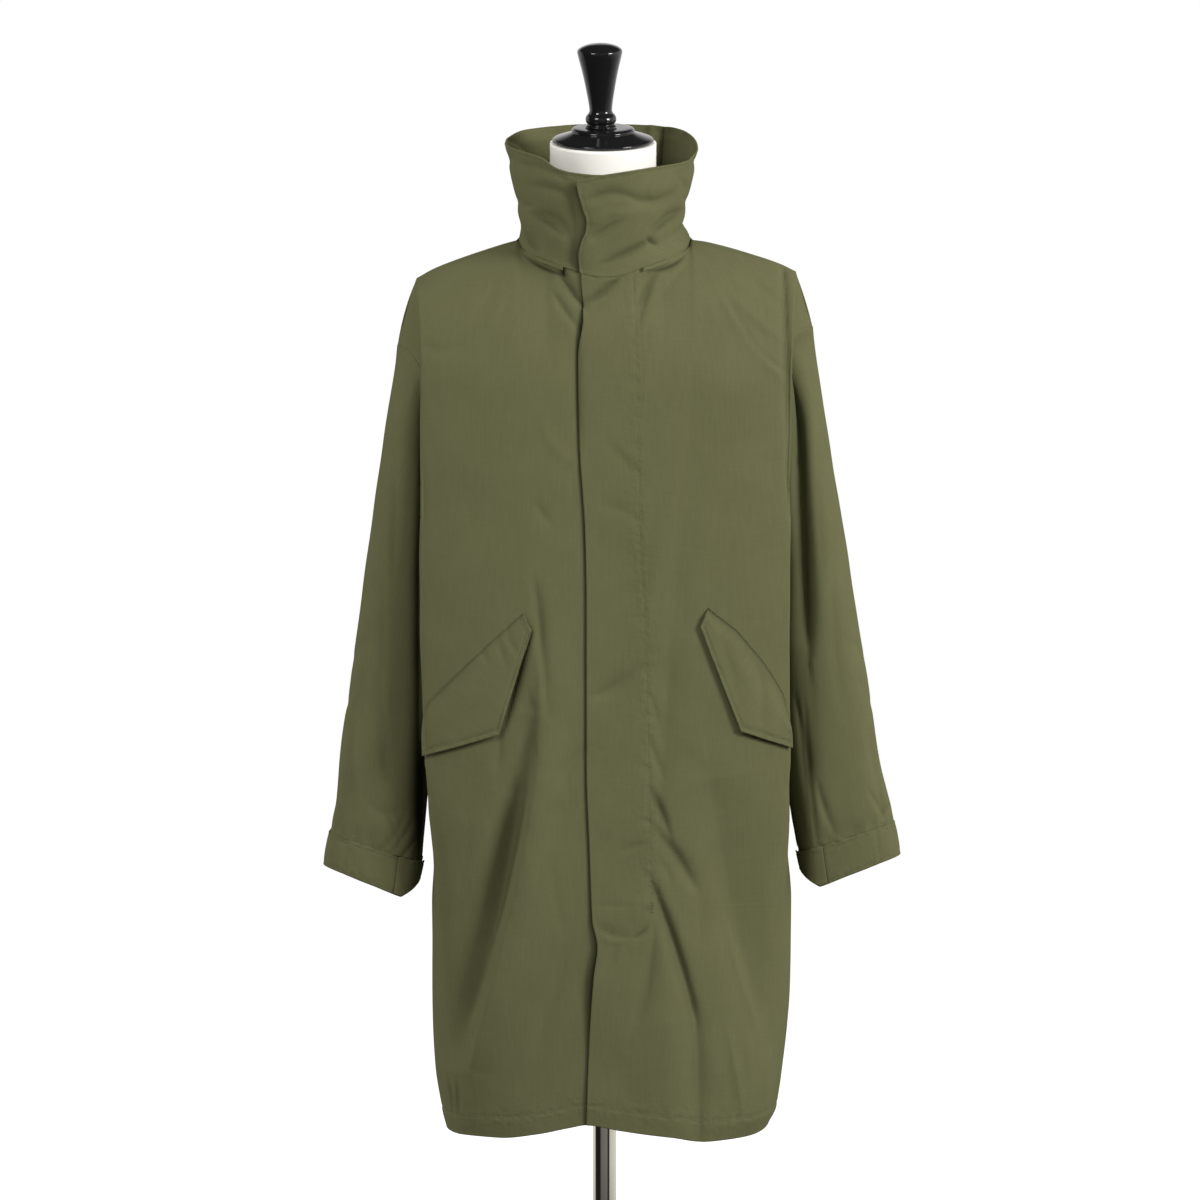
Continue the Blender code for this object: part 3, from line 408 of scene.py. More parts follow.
NECK_SHARE, NECK_HALF, NECK_FRONT, NECK_BACK, NECK_POWER = 0.475, 0.0985, 0.107, 0.088, 2.2
NECK_STANDS, NECK_RISE, ROLL, CHEST_LEAVE = 0.085, 0.10, 0.21, 1.45
NECK_HEIGHT = ((-0.107, 1.387), (-0.100, 1.3965), (-0.075, 1.4095), (0.0, 1.4335), (0.088, 1.457))
FLY_EDGE = (
    (0.42, -0.0200), (0.53, -0.0165), (0.600, -0.0120), (0.635, -0.0078), (0.665, -0.0135),
    (0.74, -0.0165), (0.84, -0.0199), (1.02, -0.0199), (1.10, -0.0215), (1.21, -0.0283),
    (1.30, -0.0299), (1.36, -0.0240), (1.45, -0.0270),
)
FLY_STITCH = (
    (0.42, 0.056), (0.55, 0.054), (0.68, 0.053), (0.80, 0.051), (1.002, 0.046), (1.069, 0.041),
    (1.249, 0.037), (1.45, 0.033),
)
FLY_TACK = 0.680  # height of the bar tack where the fly's stitching ends
UNDER_EDGE, FLY_WIDTH, FLY_MIDDLE = 0.036, 0.070, 0.015
FLY_GROOVE, FLY_GROOVE_WIDE, TACK_REACH = 0.0007, 0.0018, 0.004
FLY_GAPE = 0.005  # how far its free edge stands off,
FLY_GAPES = ((1.0, 0.600, 0.055), (0.15, 0.45, 0.03))  # by this share, at a height, over a height
CLOSE_EDGE = (0.0, 0.0012, 0.004)  # where columns of points lie close: behind an edge, by a line
CLOSE_STITCH = {LEFT: (-0.004, -0.0016, 0.0, 0.0016, 0.004), RIGHT: (-0.004, 0.0, 0.004, 0.010, 0.020)}
UNDER_CLOSE = -0.020  # x where the columns of the under front lie closest
HEM_HEIGHT = (
    (-0.182, 0.4150), (-0.150, 0.4180), (-0.120, 0.4180), (-0.074, 0.4241), (-0.042, 0.4308),
    (-0.019, 0.4347), (0.015, 0.4290), (0.045, 0.4245), (0.076, 0.4204), (0.113, 0.4140),
    (0.140, 0.4150), (0.191, 0.4190),
)
# Painted shade: the under front's colour is darkened beside the fly's lapped edge, where no light gets.
FLY_DARK, FLY_DARK_WIDE = 0.95, 0.0024  # no light gets under the lapped edge;
GAPE_WIDER, GAPE_HEIGHT, GAPE_OVER = 1.3, 0.590, 0.045  # the dark is wider where it gapes
HELD_WIDE, HELD_HIGH, SEAM_REACH = 0.14, 0.016, 0.012  # no creases this near a seam; puckers reach so far
HEM_STITCH = 0.023  # above the hem
HEM_GROOVE, HEM_GROOVE_WIDE, HEM_FULLER = 0.0007, 0.0016, 0.0004
HEM_EVEN, BACK_HEM = 0.60, 0.25  # the front's uneven hem is level up here; the back's is this share of it
SIDE_BEND, BEND_PASSES = 0.07, 40  # the skirt's turn to the side: its share of the width, how soft
BEND_ENDS = (0.76, 0.84)
NECK_GROOVE = 0.0006  # the cloth is drawn in at the neck seam
THREADS_APART = 0.00042
OLIVE = (0.127, 0.126, 0.0625)
OLIVE_DARK = (0.100, 0.100, 0.0480)
# Painted shade: the colour the shade attribute darkens the cloth towards in tight creases, under lapped
# edges and flaps, and along some seams.
PAINTED_SHADE_COLOUR = (0.010, 0.010, 0.006)  # the bottom of a tight crease, where next to no light gets

# Creases as seen from the front, in millimetres: three points of the line (x, height), how deep
# (crests below 0), and how wide on its -x or lower side and on its +x or upper side.
FRONT_CREASES = (
    # wearer's right: the long fold that drops from the flap to the side of the hem
    (-66, 1010, -80, 830, -106, 690, -6.0, 10, 34), (-74, 845, -112, 650, -153, 490, -11.0, 7, 40),
    (-79, 900, -102, 765, -132, 645, 12.0, 26, 13), (-95, 805, -134, 636, -175, 482, 18.0, 30, 15),
    (-105, 675, -131, 575, -153, 488, -2.0, 3, 9), (-146, 562, -168, 505, -180, 462, -2.0, 7, 8),
    (-80, 1050, -71, 975, -65, 895, 3.8, 5, 6), (-118, 884, -119, 858, -122, 828, 2.4, 6, 4),
    (-162, 486, -163, 462, -163, 420, 1.6, 3, 3), (-169, 484, -171, 462, -172, 420, 1.6, 3, 3),
    (-177, 484, -179, 462, -180, 420, 1.6, 3, 3), (-80, 505, -63, 560, -44, 625, 2.4, 13, 10),
    (-150, 800, -160, 720, -172, 640, 2.0, 15, 13), (-62, 735, -55, 690, -48, 650, 1.2, 8, 8),
    (-72, 1225, -52, 1192, -30, 1178, -1.6, 8, 9), (-78, 1134, -71, 1121, -61, 1107, 1.8, 6, 6),
    (-123, 1388, -134, 1360, -150, 1332, 1.6, 8, 8), (-206, 1312, -166, 1307, -130, 1342, 2.4, 9, 9),
    (-53, 1392, -37, 1371, -20, 1348, 5.2, 5, 5), (-58, 1370, -46, 1350, -30, 1329, 3.6, 5, 5),
    (-83, 996, -98, 936, -116, 872, 5.0, 3, 5), (-28, 1350, -30, 1275, -27, 1190, 3.0, 12, 3),
    # the fly
    (-14, 862, -38, 838, -47, 808, 2.8, 8, 6), (-14, 917, 10, 925, 42, 953, 4.6, 7, 4),
    (8, 1014, 28, 1032, 47, 1056, 1.4, 6, 6), (5, 1200, 22, 1180, 42, 1162, 1.9, 6, 5),
    (-6, 1132, 14, 1126, 36, 1117, 1.3, 6, 6), (20, 737, 31, 748, 46, 749, 2.4, 3, 4),
    (-14, 681, 12, 681, 34, 680, 1.0, 4, 4), (-9, 662, 3, 653, 29, 646, 2.2, 3, 6),
    (31, 645, 41, 651, 50, 663, 2.8, 4, 4), (-4, 646, 12, 642, 28, 646, -1.6, 4, 3),
    (13, 636, 6, 620, -4, 602, 2.8, 3, 4),
    (36, 996, 41, 1004, 46, 1016, 1.5, 4, 3), (38, 940, 44, 948, 50, 949, 1.4, 3, 4),
    (40, 888, 46, 896, 54, 892, 1.5, 3, 4), (41, 842, 47, 836, 55, 838, 1.6, 3, 4),
    (38, 782, 45, 776, 52, 779, 1.5, 4, 3), (30, 1108, 36, 1116, 42, 1113, 1.2, 3, 4),
    (26, 1190, 32, 1198, 40, 1199, 1.2, 3, 4), (28, 1275, 34, 1268, 40, 1272, 1.2, 4, 3),
    (-28, 1357, -10, 1365, 25, 1391, 5.4, 5, 4), (-24, 1341, -10, 1350, 5, 1363, 1.6, 4, 3),
    # wearer's left: beside the fly, from the bar tack down, and from the shoulder
    (98, 1265, 85, 1110, 66, 890, 2.4, 17, 20), (92, 1235, 72, 1120, 50, 1020, -3.0, 22, 16),
    (74, 965, 67, 870, 60, 780, 2.8, 13, 12), (116, 1160, 104, 1030, 95, 900, -1.8, 22, 18),
    (50, 814, 63, 790, 75, 754, 4.2, 5, 4), (50, 869, 57, 848, 65, 826, 2.4, 4, 4),
    (51, 920, 58, 896, 64, 870, 1.8, 5, 4), (56, 770, 85, 734, 104, 698, 5.4, 10, 5),
    (95, 735, 107, 690, 106, 630, 2.4, 14, 12), (51, 713, 79, 638, 105, 546, 9.0, 10, 5),
    (97, 580, 105, 510, 106, 400, 6.0, 12, 8), (57, 680, 49, 610, 34, 545, 4.5, 9, 8),
    (60, 735, 70, 720, 76, 700, 1.6, 4, 4), (118, 830, 153, 655, 199, 500, 14.0, 28, 50),
    (60, 700, 68, 560, 74, 400, -7.0, 60, 30), (140, 660, 158, 590, 184, 520, -2.4, 6, 6),
    (138, 545, 148, 490, 158, 430, -2.0, 5, 6), (163, 525, 167, 480, 171, 420, -1.6, 5, 4),
    (178, 545, 184, 490, 185, 430, -2.0, 6, 4), (188, 715, 190, 660, 196, 600, -1.6, 8, 6),
    (130, 1364, 165, 1315, 206, 1264, -2.6, 6, 7), (145, 1364, 174, 1336, 206, 1313, -2.2, 5, 6),
    (136, 1370, 171, 1308, 208, 1281, 2.8, 4, 4), (154, 1396, 180, 1375, 210, 1355, 2.2, 6, 6),
    (62, 1396, 46, 1362, 36, 1330, 5.6, 5, 5), (88, 1396, 68, 1376, 47, 1347, 2.6, 7, 7),
    (57, 1391, 47, 1370, 37, 1349, 2.8, 4, 4), (204, 1450, 206, 1310, 209, 1120, 5.0, 5, 4),
)
# Tight lines that no light gets into, painted as shade in the cloth's colour: the same columns, with the
# darkness for the depth.
FRONT_LINES = (
    # under the flaps' free edges, beside the hood strips and in the folds at the neck
    (-81, 993, -97, 936, -114, 871, 1.0, 5, 4), (-124, 874, -162, 862, -204, 850, 1.0, 2, 3),
    (111, 996, 132, 936, 153, 876, 1.0, 2, 3), (146, 876, 180, 867, 214, 857, 1.0, 2, 3),
    (-49, 1405, -47, 1396, -45, 1387, 1.2, 3, 3), (42, 1398, 49, 1402, 58, 1405, 1.3, 4, 4),
    (-24, 1358, -6, 1368, 22, 1391, 0.3, 4, 3), (-50, 1388, -39, 1374, -28, 1359, 0.3, 4, 3),
    (59, 1392, 46, 1364, 37, 1334, 0.15, 3, 4),
    (-92, 1414, -70, 1398, -40, 1388, 0.8, 2, 3), (92, 1414, 74, 1400, 50, 1394, 0.7, 2, 3),
    (-190, 1401, -150, 1416, -103, 1429, 0.25, 2, 2), (101, 1431, 150, 1419, 196, 1406, 0.25, 2, 2),
    # creases at the bar tack, the fly's foot and the hem
    (53, 708, 79, 644, 103, 565, 0.5, 4, 3), (50, 811, 63, 790, 73, 762, 0.45, 4, 3),
    (59, 765, 84, 735, 101, 704, 0.4, 4, 3), (45, 679, 50, 680, 55, 681, 0.35, 2, 2),
    (-9, 660, 8, 651, 31, 646, 0.3, 2, 2), (29, 647, 40, 650, 50, 661, 0.35, 2, 2),
    (-178, 480, -175, 460, -174, 438, 0.35, 2, 2), (-168, 482, -167, 460, -166, 436, 0.35, 2, 2),
    (204, 1430, 206, 1330, 207, 1230, 0.4, 2, 2),
)


def pairs(rows, at):
    keys, values = zip(*rows)
    return smooth(keys, values, at)


def hermite(w, start, leave, end, arrive):
    first = (1 + 2 * w) * (1 - w) ** 2 * start + w * (1 - w) ** 2 * leave
    return first + w**2 * (3 - 2 * w) * end + w**2 * (w - 1) * arrive


def unit(vectors):
    return vectors / np.maximum(np.linalg.norm(vectors, axis=-1, keepdims=True), 1e-12)


def crown_line(share, side, facing):
    """x, y, z of the neck seam and shoulder seam, and how far the cloth stands up there, 0 to 1."""
    share = np.abs(share)
    seam = columns(SHOULDER_COLUMNS, SHOULDER)
    hand = "_r" if side == RIGHT else "_l"
    x = np.minimum(share / NECK_SHARE, 1.0)
    y = facing * (NECK_FRONT if facing == FRONT else NECK_BACK) * (1 - x**NECK_POWER) ** (1 / NECK_POWER)
    past = share > NECK_SHARE
    z = np.where(past, smooth(seam["share"], seam["z" + hand], share), pairs(NECK_HEIGHT, y))
    x = np.where(past, smooth(seam["share"], seam["x" + hand], share), x * NECK_HALF)
    return x, y, z, np.minimum(np.abs(y) / NECK_STANDS, 1.0)


def body(share, level, side, facing):
    """Outer face of the body. share: 0 at the centre, 1 at the fold or shoulder blade, 2 at the side
    or armhole seam; below 0 it runs past the centre. level: height, above CHEST the way to CROWN."""
    share, level = np.broadcast_arrays(np.asarray(share, float), np.asarray(level, float))
    rows = columns(BODY_COLUMNS, BODY)
    arm = columns(ARM_COLUMNS, ARMHOLE)

    def row(name):
        return smooth(rows["z"], rows[name], np.minimum(level, CHEST))

    def on_arm(name):
        return smooth(arm["level"], arm[name], level)

    hand = "_r" if side == RIGHT else "_l"
    left = 1.0 if side == LEFT else 0.0
    seam_x = row("side" + hand)
    if facing == FRONT:
        wide, middle, corner, flat = row("fold" + hand), row("front"), row("corner"), 3.2
        fuller, shallower = 0.0, 1.0
    else:
        wide = row("blade_x") + seam_x - row("side_r")
        middle, corner, flat = row("back"), row("blade"), 2.6
        fuller, shallower = 0.004, 0.92

    main = np.minimum(share, 1.0)
    depth = middle + (corner - middle) * np.abs(main) ** flat
    over = np.clip((level - CHEST) / (CROWN - CHEST), 0.0, 1.0)
    top_x, top_y, top_z, stands = crown_line(main, side, facing)
    x = main * wide
    x = x + (np.sign(main) * top_x - x) * ease(0.0, 1.0, over)
    y = facing * hermite(over, depth, 0.0, facing * top_y, -ROLL * (1 - stands))
    leave = CHEST_LEAVE * (top_z - CHEST)
    z = np.where(over > 0, hermite(over, CHEST, leave, top_z, NECK_RISE * stands), level)

    past = np.clip(share - 1.0, 0.0, 1.0)
    upper = np.clip((level - UNDERARM) / (CROWN - UNDERARM), 0, 1)
    wider = left * (ARMHOLE_LEFT_LOW + (ARMHOLE_LEFT_X - ARMHOLE_LEFT_LOW) * upper)
    higher = left * ARMHOLE_LEFT_Z * ease(0.1, 0.8, upper)
    higher = higher + left * ARMHOLE_LEFT_BOW * np.sin(math.pi * upper) ** 2
    high = level > UNDERARM
    end_x = np.where(high, on_arm("x") + wider, seam_x)
    end_y = np.where(high, on_arm("deep"), 0.0)
    end_z = np.where(high, on_arm("z") + higher, level)
    flatter = ease(0.7, 1.0, upper) * SHOULDER_FLAT * (1 + left)
    turn_x = on_arm("turn_x") + left * ARMHOLE_LEFT_LOW - flatter
    turn_x = np.where(high, turn_x, seam_x + row("bow")) + fuller
    turn_y = np.where(high, on_arm("turn_y"), row("dip")) * shallower
    turn_z = np.where(high, (z + end_z) / 2 + on_arm("lift") * (0.5 - 0.5 * left), level)
    a, b, c = (1 - past) ** 2, 2 * past * (1 - past), past**2
    x = side * np.where(past > 0, a * x + b * turn_x + c * end_x, x)
    y = np.where(past > 0, a * y + facing * (b * turn_y + c * end_y), y)
    z = np.where(past > 0, a * z + b * turn_z + c * end_z, z)

    lift = (pairs(HEM_HEIGHT, x) - HEM) * (1 - ease(HEM, HEM_EVEN, level))
    z = z + (lift if facing == FRONT else lift * BACK_HEM * (past > 0))
    return np.stack([x, y, z], axis=-1)


def outward(grid, closed=False, middle=None):
    """Directions out of the cloth's outer face at every point of the grid."""
    if closed:
        round_it = np.concatenate([grid[:, -1:], grid, grid[:, :1]], axis=1)
        along = round_it[:, 2:] - round_it[:, :-2]
    else:
        along = np.gradient(grid, axis=1)
    found = unit(np.cross(along, np.gradient(grid, axis=0)))
    if middle is None:
        middle = grid.mean(axis=1, keepdims=True) if closed else np.zeros(3)
    away = (grid - middle) * (1, 1, 0)
    return found if np.sum(found * away) > 0 else -found


def creased(grid, out, rows, seen, hold=1.0):
    """How far the creases in the table move each point out, in metres; seen is the side they show on."""
    seen = np.array(seen, float)
    across = grid[..., 0] if seen[1] else grid[..., 1]
    place = np.stack([across, grid[..., 2]], axis=-1) * 1000
    moved = np.zeros(across.shape)
    for row in rows:
        start, through, end = np.array(row[:6], float).reshape(3, 2)
        depth, below, above = row[6:]
        share = np.linspace(0, 1, 13)[:, None]
        pull = 2 * through - (start + end) / 2
        line = (1 - share) ** 2 * start + 2 * share * (1 - share) * pull + share**2 * end
        reach = max(below, above) * 3
        near = np.all((place > line.min(axis=0) - reach) & (place < line.max(axis=0) + reach), axis=-1)
        spot = place[near][:, None]
        step = np.diff(line, axis=0)
        along = np.clip(np.sum((spot - line[:-1]) * step, axis=-1) / np.sum(step**2, axis=-1), 0, 1)
        off = spot - (line[:-1] + step * along[..., None])
        distance = np.linalg.norm(off, axis=-1)
        pick = np.argmin(distance, axis=1)
        rank = np.arange(len(pick))
        swell = np.sin(math.pi * np.clip((pick + along[rank, pick]) / len(step), 0.02, 0.98))
        off, distance = off[rank, pick], distance[rank, pick]
        width = np.where(off[:, 0] + 0.2 * off[:, 1] < 0, below, above) * (0.6 + 0.4 * swell)
        moved[near] -= depth * swell**0.6 * np.exp(-((distance / width) ** 1.5))
    return moved / 1000 * ease(0.05, 0.45, out @ seen) * hold


def rolling(grid, size, seed):
    """A soft unevenness of the cloth, in metres, that repeats nowhere."""
    random = np.random.default_rng(seed)
    moved = np.zeros(grid.shape[:2])
    for wave in (0.21, 0.15, 0.11, 0.08, 0.060, 0.045):
        way = unit(random.normal(size=3) * (1.0, 0.8, 0.55))
        moved += np.sin(grid @ way * (2 * math.pi / wave) + random.uniform(0, 6.28)) * wave * size
    return moved


def cloth_piece(name, grid, out, look, seam, closed=False, wall=WALL, shade=0.0):
    """A cloth wall with rounded edges from its outer face; seam is 0 to 1, how near a seam is, and
    shade is painted shade, 0 to 1: how far the colour is darkened where little light gets, as at the
    bottom of a tight crease."""
    pad = ((1, 1), (0, 0) if closed else (1, 1))
    marks = np.stack(np.broadcast_arrays(seam, shade), axis=-1)
    outer, thick, near = (np.pad(a, (*pad, (0, 0)), mode="edge") for a in (grid, out, marks))
    edge = np.zeros_like(outer)
    edge[0] += unit(outer[1] - outer[2])
    edge[-1] += unit(outer[-2] - outer[-3])
    if not closed:
        edge[:, 0] += unit(outer[:, 1] - outer[:, 2])
        edge[:, -1] += unit(outer[:, -2] - outer[:, -3])
    edge = unit(edge)
    stands, rounds = WALL_EDGE
    rounds = rounds * np.linalg.norm(edge, axis=-1, keepdims=True)
    face = outer + edge * wall * stands - thick * wall * rounds
    lining = outer + edge * wall * stands - thick * wall * (1 - rounds)
    rows, cols = outer.shape[:2]
    index = np.arange(rows * cols).reshape(rows, cols)
    under = index + rows * cols
    faces = quads(index, closed) + quads(under, closed)
    faces += quads(np.stack([index[0], under[0]]), closed) + quads(np.stack([index[-1], under[-1]]), closed)
    if not closed:
        faces += quads(np.stack([index[:, 0], under[:, 0]]), False)
        faces += quads(np.stack([index[:, -1], under[:, -1]]), False)
    points = np.concatenate([face.reshape(-1, 3), lining.reshape(-1, 3)])
    made = mesh_piece(name, points, faces, look)
    mesh = made.data

    run = np.cumsum(np.linalg.norm(np.diff(outer, axis=1, prepend=outer[:, :1]), axis=-1), axis=1)
    rise = np.cumsum(np.linalg.norm(np.diff(outer, axis=0, prepend=outer[:1]), axis=-1), axis=0)
    flat = np.tile(np.stack([run.ravel(), rise.ravel()], axis=1), (2, 1))
    corner = np.empty(len(mesh.loops), np.int32)
    mesh.loops.foreach_get("vertex_index", corner)
    mesh.uv_layers.new(name="cut").uv.foreach_set("vector", flat[corner].ravel().astype(np.float32))
    for i, kind in enumerate(("seam", "shade")):
        mask = mesh.attributes.new(kind, "FLOAT", "POINT")
        mask.data.foreach_set("value", np.tile(near[..., i].ravel(), 2).astype(np.float32))
    return made


def tight(grid, out, rows, seen):
    """How dark the table's lines make each point, 0 to 1, as painted shade in the colour; their depth is
    that darkness.
    """
    return np.clip(creased(grid, out, rows, seen) * -1000, 0.0, 1.0)


def olive_look():
    """Plain weave of fine cotton; its surface is uneven over a few centimetres and puckers at seams."""
    look, shader, start = finish_look(
        "olive_cloth", Specular_IOR_Level=0.0, Sheen_Weight=0.07, Sheen_Roughness=0.4,
        Sheen_Tint=(0.70, 0.72, 0.48, 1.0))
    cut = start.node("UVMap", {}, uv_map="cut")
    place = start.node("TexCoord", {}, output="Object")
    seam = start.node("Attribute", {}, output="Fac", attribute_name="seam")
    ends = start.node("SeparateXYZ", {0: cut})
    picks = start.node("SeparateXYZ", {0: cut}, output=1)
    pitch = math.pi / THREADS_APART
    weave = start.maths("SINE", ends * pitch) * start.maths("SINE", picks * pitch)
    wide = noise(start, place, 16.0)
    small = noise(start, place, 75.0, detail=3.0)
    pucker = noise(start, place, 130.0, detail=1.0)
    thread = noise(start, cut, 1.0, detail=2.0, stretch=(900.0, 90.0, 1.0))
    slub = noise(start, cut, 1.0, detail=2.0, stretch=(330.0, 26.0, 1.0))
    cross = noise(start, cut, 1.0, detail=2.0, stretch=(30.0, 330.0, 1.0))
    # Near seams the colour follows the puckers' bump noise: lighter where they rise, darker where they sink.
    seam_tone = seam * (pucker - 0.5) * 0.5
    streaks = slub * 0.7 + cross * 0.4 - 0.55
    # Painted shade: the shade attribute darkens the colour where little light gets, in tight creases, under
    # lapped edges and flaps.
    shade = start.node("Attribute", {}, output="Fac", attribute_name="shade")
    dyed = (wide * 0.5 + thread * 0.5 + streaks + seam_tone).colours(OLIVE_DARK, OLIVE)
    feed(shader, "Base Color", shade.colours(dyed, PAINTED_SHADE_COLOUR))
    feed(shader, "Roughness", wide * 0.06 + small * 0.08 + 0.64)
    height = wide * 0.0012 + small * 0.00018 + seam * pucker * 0.0017 + weave * 0.00002
    feed(shader, "Normal", dented(start, height))
    return look


def front_face(share, level, side):
    """A front's outer face before its creases, the fly lapped: left over right."""
    points = body(share, level, side, FRONT)
    near_fly = 1 - ease(FLY_WIDTH * 0.5, FLY_WIDTH * 1.5, np.abs(points[..., 0] - FLY_MIDDLE))
    points[..., 1] += near_fly * LAP * (0.5 if side == RIGHT else -0.5)
    return points


def front_width(level, side):
    rows = columns(BODY_COLUMNS, BODY)
    return smooth(rows["z"], rows["fold_r" if side == RIGHT else "fold_l"], np.minimum(level, CHEST))


def spread(marks, steps):
    """Stations between the marks (one row of marks a level), steps of them in each interval."""
    marks = np.asarray(marks, float)
    parts = [
        marks[..., i, None] + (marks[..., i + 1, None] - marks[..., i, None]) * np.arange(n) / n
        for i, n in enumerate(steps)
    ]
    return np.concatenate([*parts, marks[..., -1:]], axis=-1)


def front_moves(grid, out, hold=1.0):
    """How far a front's creases and unevenness move its points out."""
    return creased(grid, out, FRONT_CREASES, (0, FRONT, 0), hold) + rolling(grid, 0.0022, 3) * hold


body_levels = spread(
    (HEM, HEM + 0.0012, HEM + 0.004, HEM + HEM_STITCH - 0.002, HEM + HEM_STITCH, HEM + HEM_STITCH + 0.002,
     CHEST, CROWN - 0.004, CROWN), (1, 1, 5, 1, 1, 240, 66, 2))[:, None]
from_hem_stitch = body_levels - HEM - HEM_STITCH
hem_moves = HEM_FULLER * (1 - ease(-0.002, 0.001, from_hem_stitch))
hem_moves -= HEM_GROOVE * bump(from_hem_stitch, HEM_GROOVE_WIDE)


def seam_marks(shares):
    """How free the cloth of a front or the back is to crease, and how near it is to a seam, 0 to 1."""
    free = (1 - ease(2 - HELD_WIDE, 2, shares)) * (1 - ease(CROWN - HELD_HIGH, CROWN, body_levels))
    near = np.maximum(fade(from_hem_stitch, SEAM_REACH), fade(2 - shares, 1 / 9))
    return free, near + fade(CROWN - body_levels, SEAM_REACH)


olive = olive_look()
front_grids = {}
for side, word, flat in ((RIGHT, "right", (0.335, 1.060)), (LEFT, "left", (0.320, 1.060))):
    wide = front_width(body_levels, side)
    if side == LEFT:
        edge, stitch = (pairs(line, body_levels[:, 0]) for line in (FLY_EDGE, FLY_STITCH))
    else:
        edge, stitch = (np.full(len(body_levels), x) for x in (-UNDER_EDGE, UNDER_CLOSE))
    places = [edge + step for step in CLOSE_EDGE] + [stitch + step for step in CLOSE_STITCH[side]]
    inner = spread(np.stack([*places, wide[:, 0]], axis=1) / wide, (1, 1, 13, 1, 1, 1, 1, 76))
    outer_part = np.tile(1 + np.linspace(0, 1, 31)[1:], (len(body_levels), 1))
    shares = np.concatenate([inner, outer_part], axis=1)
    grid = front_face(shares, body_levels, side)
    out = outward(grid)
    hold, seam = seam_marks(shares)
    moved = front_moves(grid, out, hold) + hem_moves
    moved -= NECK_GROOVE * ease(CROWN - 0.009, CROWN - 0.002, body_levels) * (shares < NECK_SHARE)
    if side == LEFT:
        off = (shares * wide - stitch[:, None]) * (body_levels > FLY_TACK)
        sewn = ease(FLY_TACK - TACK_REACH, FLY_TACK + TACK_REACH, body_levels)
        moved -= FLY_GROOVE * bump(off, FLY_GROOVE_WIDE) * sewn
        seam = seam + sewn * fade(off, 0.010)
        free = 1 - ease(0.0, 0.05, shares * wide - edge[:, None])
        gape = sum(share * bump(body_levels - at, over) for share, at, over in FLY_GAPES)
        moved += free * gape * FLY_GAPE
    grid = grid + out * moved[..., None]
    # the skirt turns to the side in a soft bend, not along an edge
    bend = 0.25 * bump(shares[:, 1:-1] - 1, SIDE_BEND) * (1 - ease(*BEND_ENDS, body_levels))
    for _ in range(BEND_PASSES):
        grid[:, 1:-1] += bend[..., None] * (grid[:, :-2] + grid[:, 2:] - 2 * grid[:, 1:-1])
    front_grids[side] = (grid, outward(grid), shares, stitch)
    dark = tight(grid, out, FRONT_LINES, (0, FRONT, 0))
    # painted shade beside the fly's edge on the under front
    if side == RIGHT:
        beyond = np.maximum(pairs(FLY_EDGE, grid[..., 2]) - grid[..., 0], 0)
        gapes = 1 + GAPE_WIDER * bump(grid[..., 2] - GAPE_HEIGHT, GAPE_OVER)
        dark = np.maximum(dark, FLY_DARK * np.exp(-((beyond / FLY_DARK_WIDE / gapes) ** 1.5)))
    piece = cloth_piece("front_cloth_" + word, grid, outward(grid), olive, np.clip(seam, 0, 1), shade=dark)
    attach(piece, "root")
    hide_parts("front_" + word)


# ---------------------------------------------------------------- back
# One piece of the same cloth, cut on the fold from shoulder to hem; it hangs from the shoulder
# blades in broad folds.
BACK_CREASES = (
    (-60, 1260, -72, 1000, -64, 700, 3.8, 24, 18), (-60, 800, -82, 600, -104, 400, -7.5, 26, 34),
    (52, 1200, 60, 960, 46, 720, 3.4, 18, 22), (46, 820, 66, 600, 92, 400, -7.0, 34, 24),
    (-10, 940, -4, 660, 8, 400, 4.2, 22, 20), (-156, 1186, -120, 1140, -66, 1118, 2.8, 7, 10),
    (158, 1196, 122, 1150, 72, 1124, 2.8, 7, 9), (-152, 1002, -110, 978, -56, 986, 2.2, 7, 9),
    (150, 988, 104, 962, 48, 972, 2.2, 6, 8), (-140, 880, -146, 640, -128, 410, 4.0, 14, 12),
    (142, 850, 148, 620, 132, 405, 4.0, 12, 15), (-124, 1366, -90, 1345, -46, 1353, 1.8, 9, 8),
    (126, 1371, 92, 1350, 44, 1357, 1.8, 8, 8), (-44, 1412, -20, 1396, 22, 1399, 2.2, 5, 5),
    (-178, 620, -172, 520, -170, 405, 3.0, 8, 7), (184, 630, 178, 520, 174, 405, 3.0, 7, 8),
    (-170, 1326, -152, 1290, -148, 1230, 2.6, 8, 9), (172, 1336, 154, 1296, 150, 1236, 2.6, 9, 8),
    (-100, 1150, -92, 1060, -98, 960, -2.0, 16, 14), (108, 1160, 98, 1070, 104, 980, -2.0, 14, 16),
)
half_shares = np.concatenate([np.linspace(0, 1, 44), 1 + np.linspace(0, 1, 24)[1:]])
right_half = body(half_shares[None, ::-1], body_levels, RIGHT, BACK)
left_half = body(half_shares[None, 1:], body_levels, LEFT, BACK)
grid = np.concatenate([right_half, left_half], axis=1)
shares = np.concatenate([half_shares[::-1], half_shares[1:]])[None, :]
out = outward(grid)
hold, seam = seam_marks(shares)
moved = creased(grid, out, BACK_CREASES, (0, BACK, 0), hold) + rolling(grid, 0.003, 11) * hold + hem_moves
grid = grid + out * moved[..., None]
back_grid = (grid, outward(grid))
piece = cloth_piece("back_cloth", *back_grid, olive, np.clip(seam, 0, 1))
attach(piece, "root")
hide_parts("back")


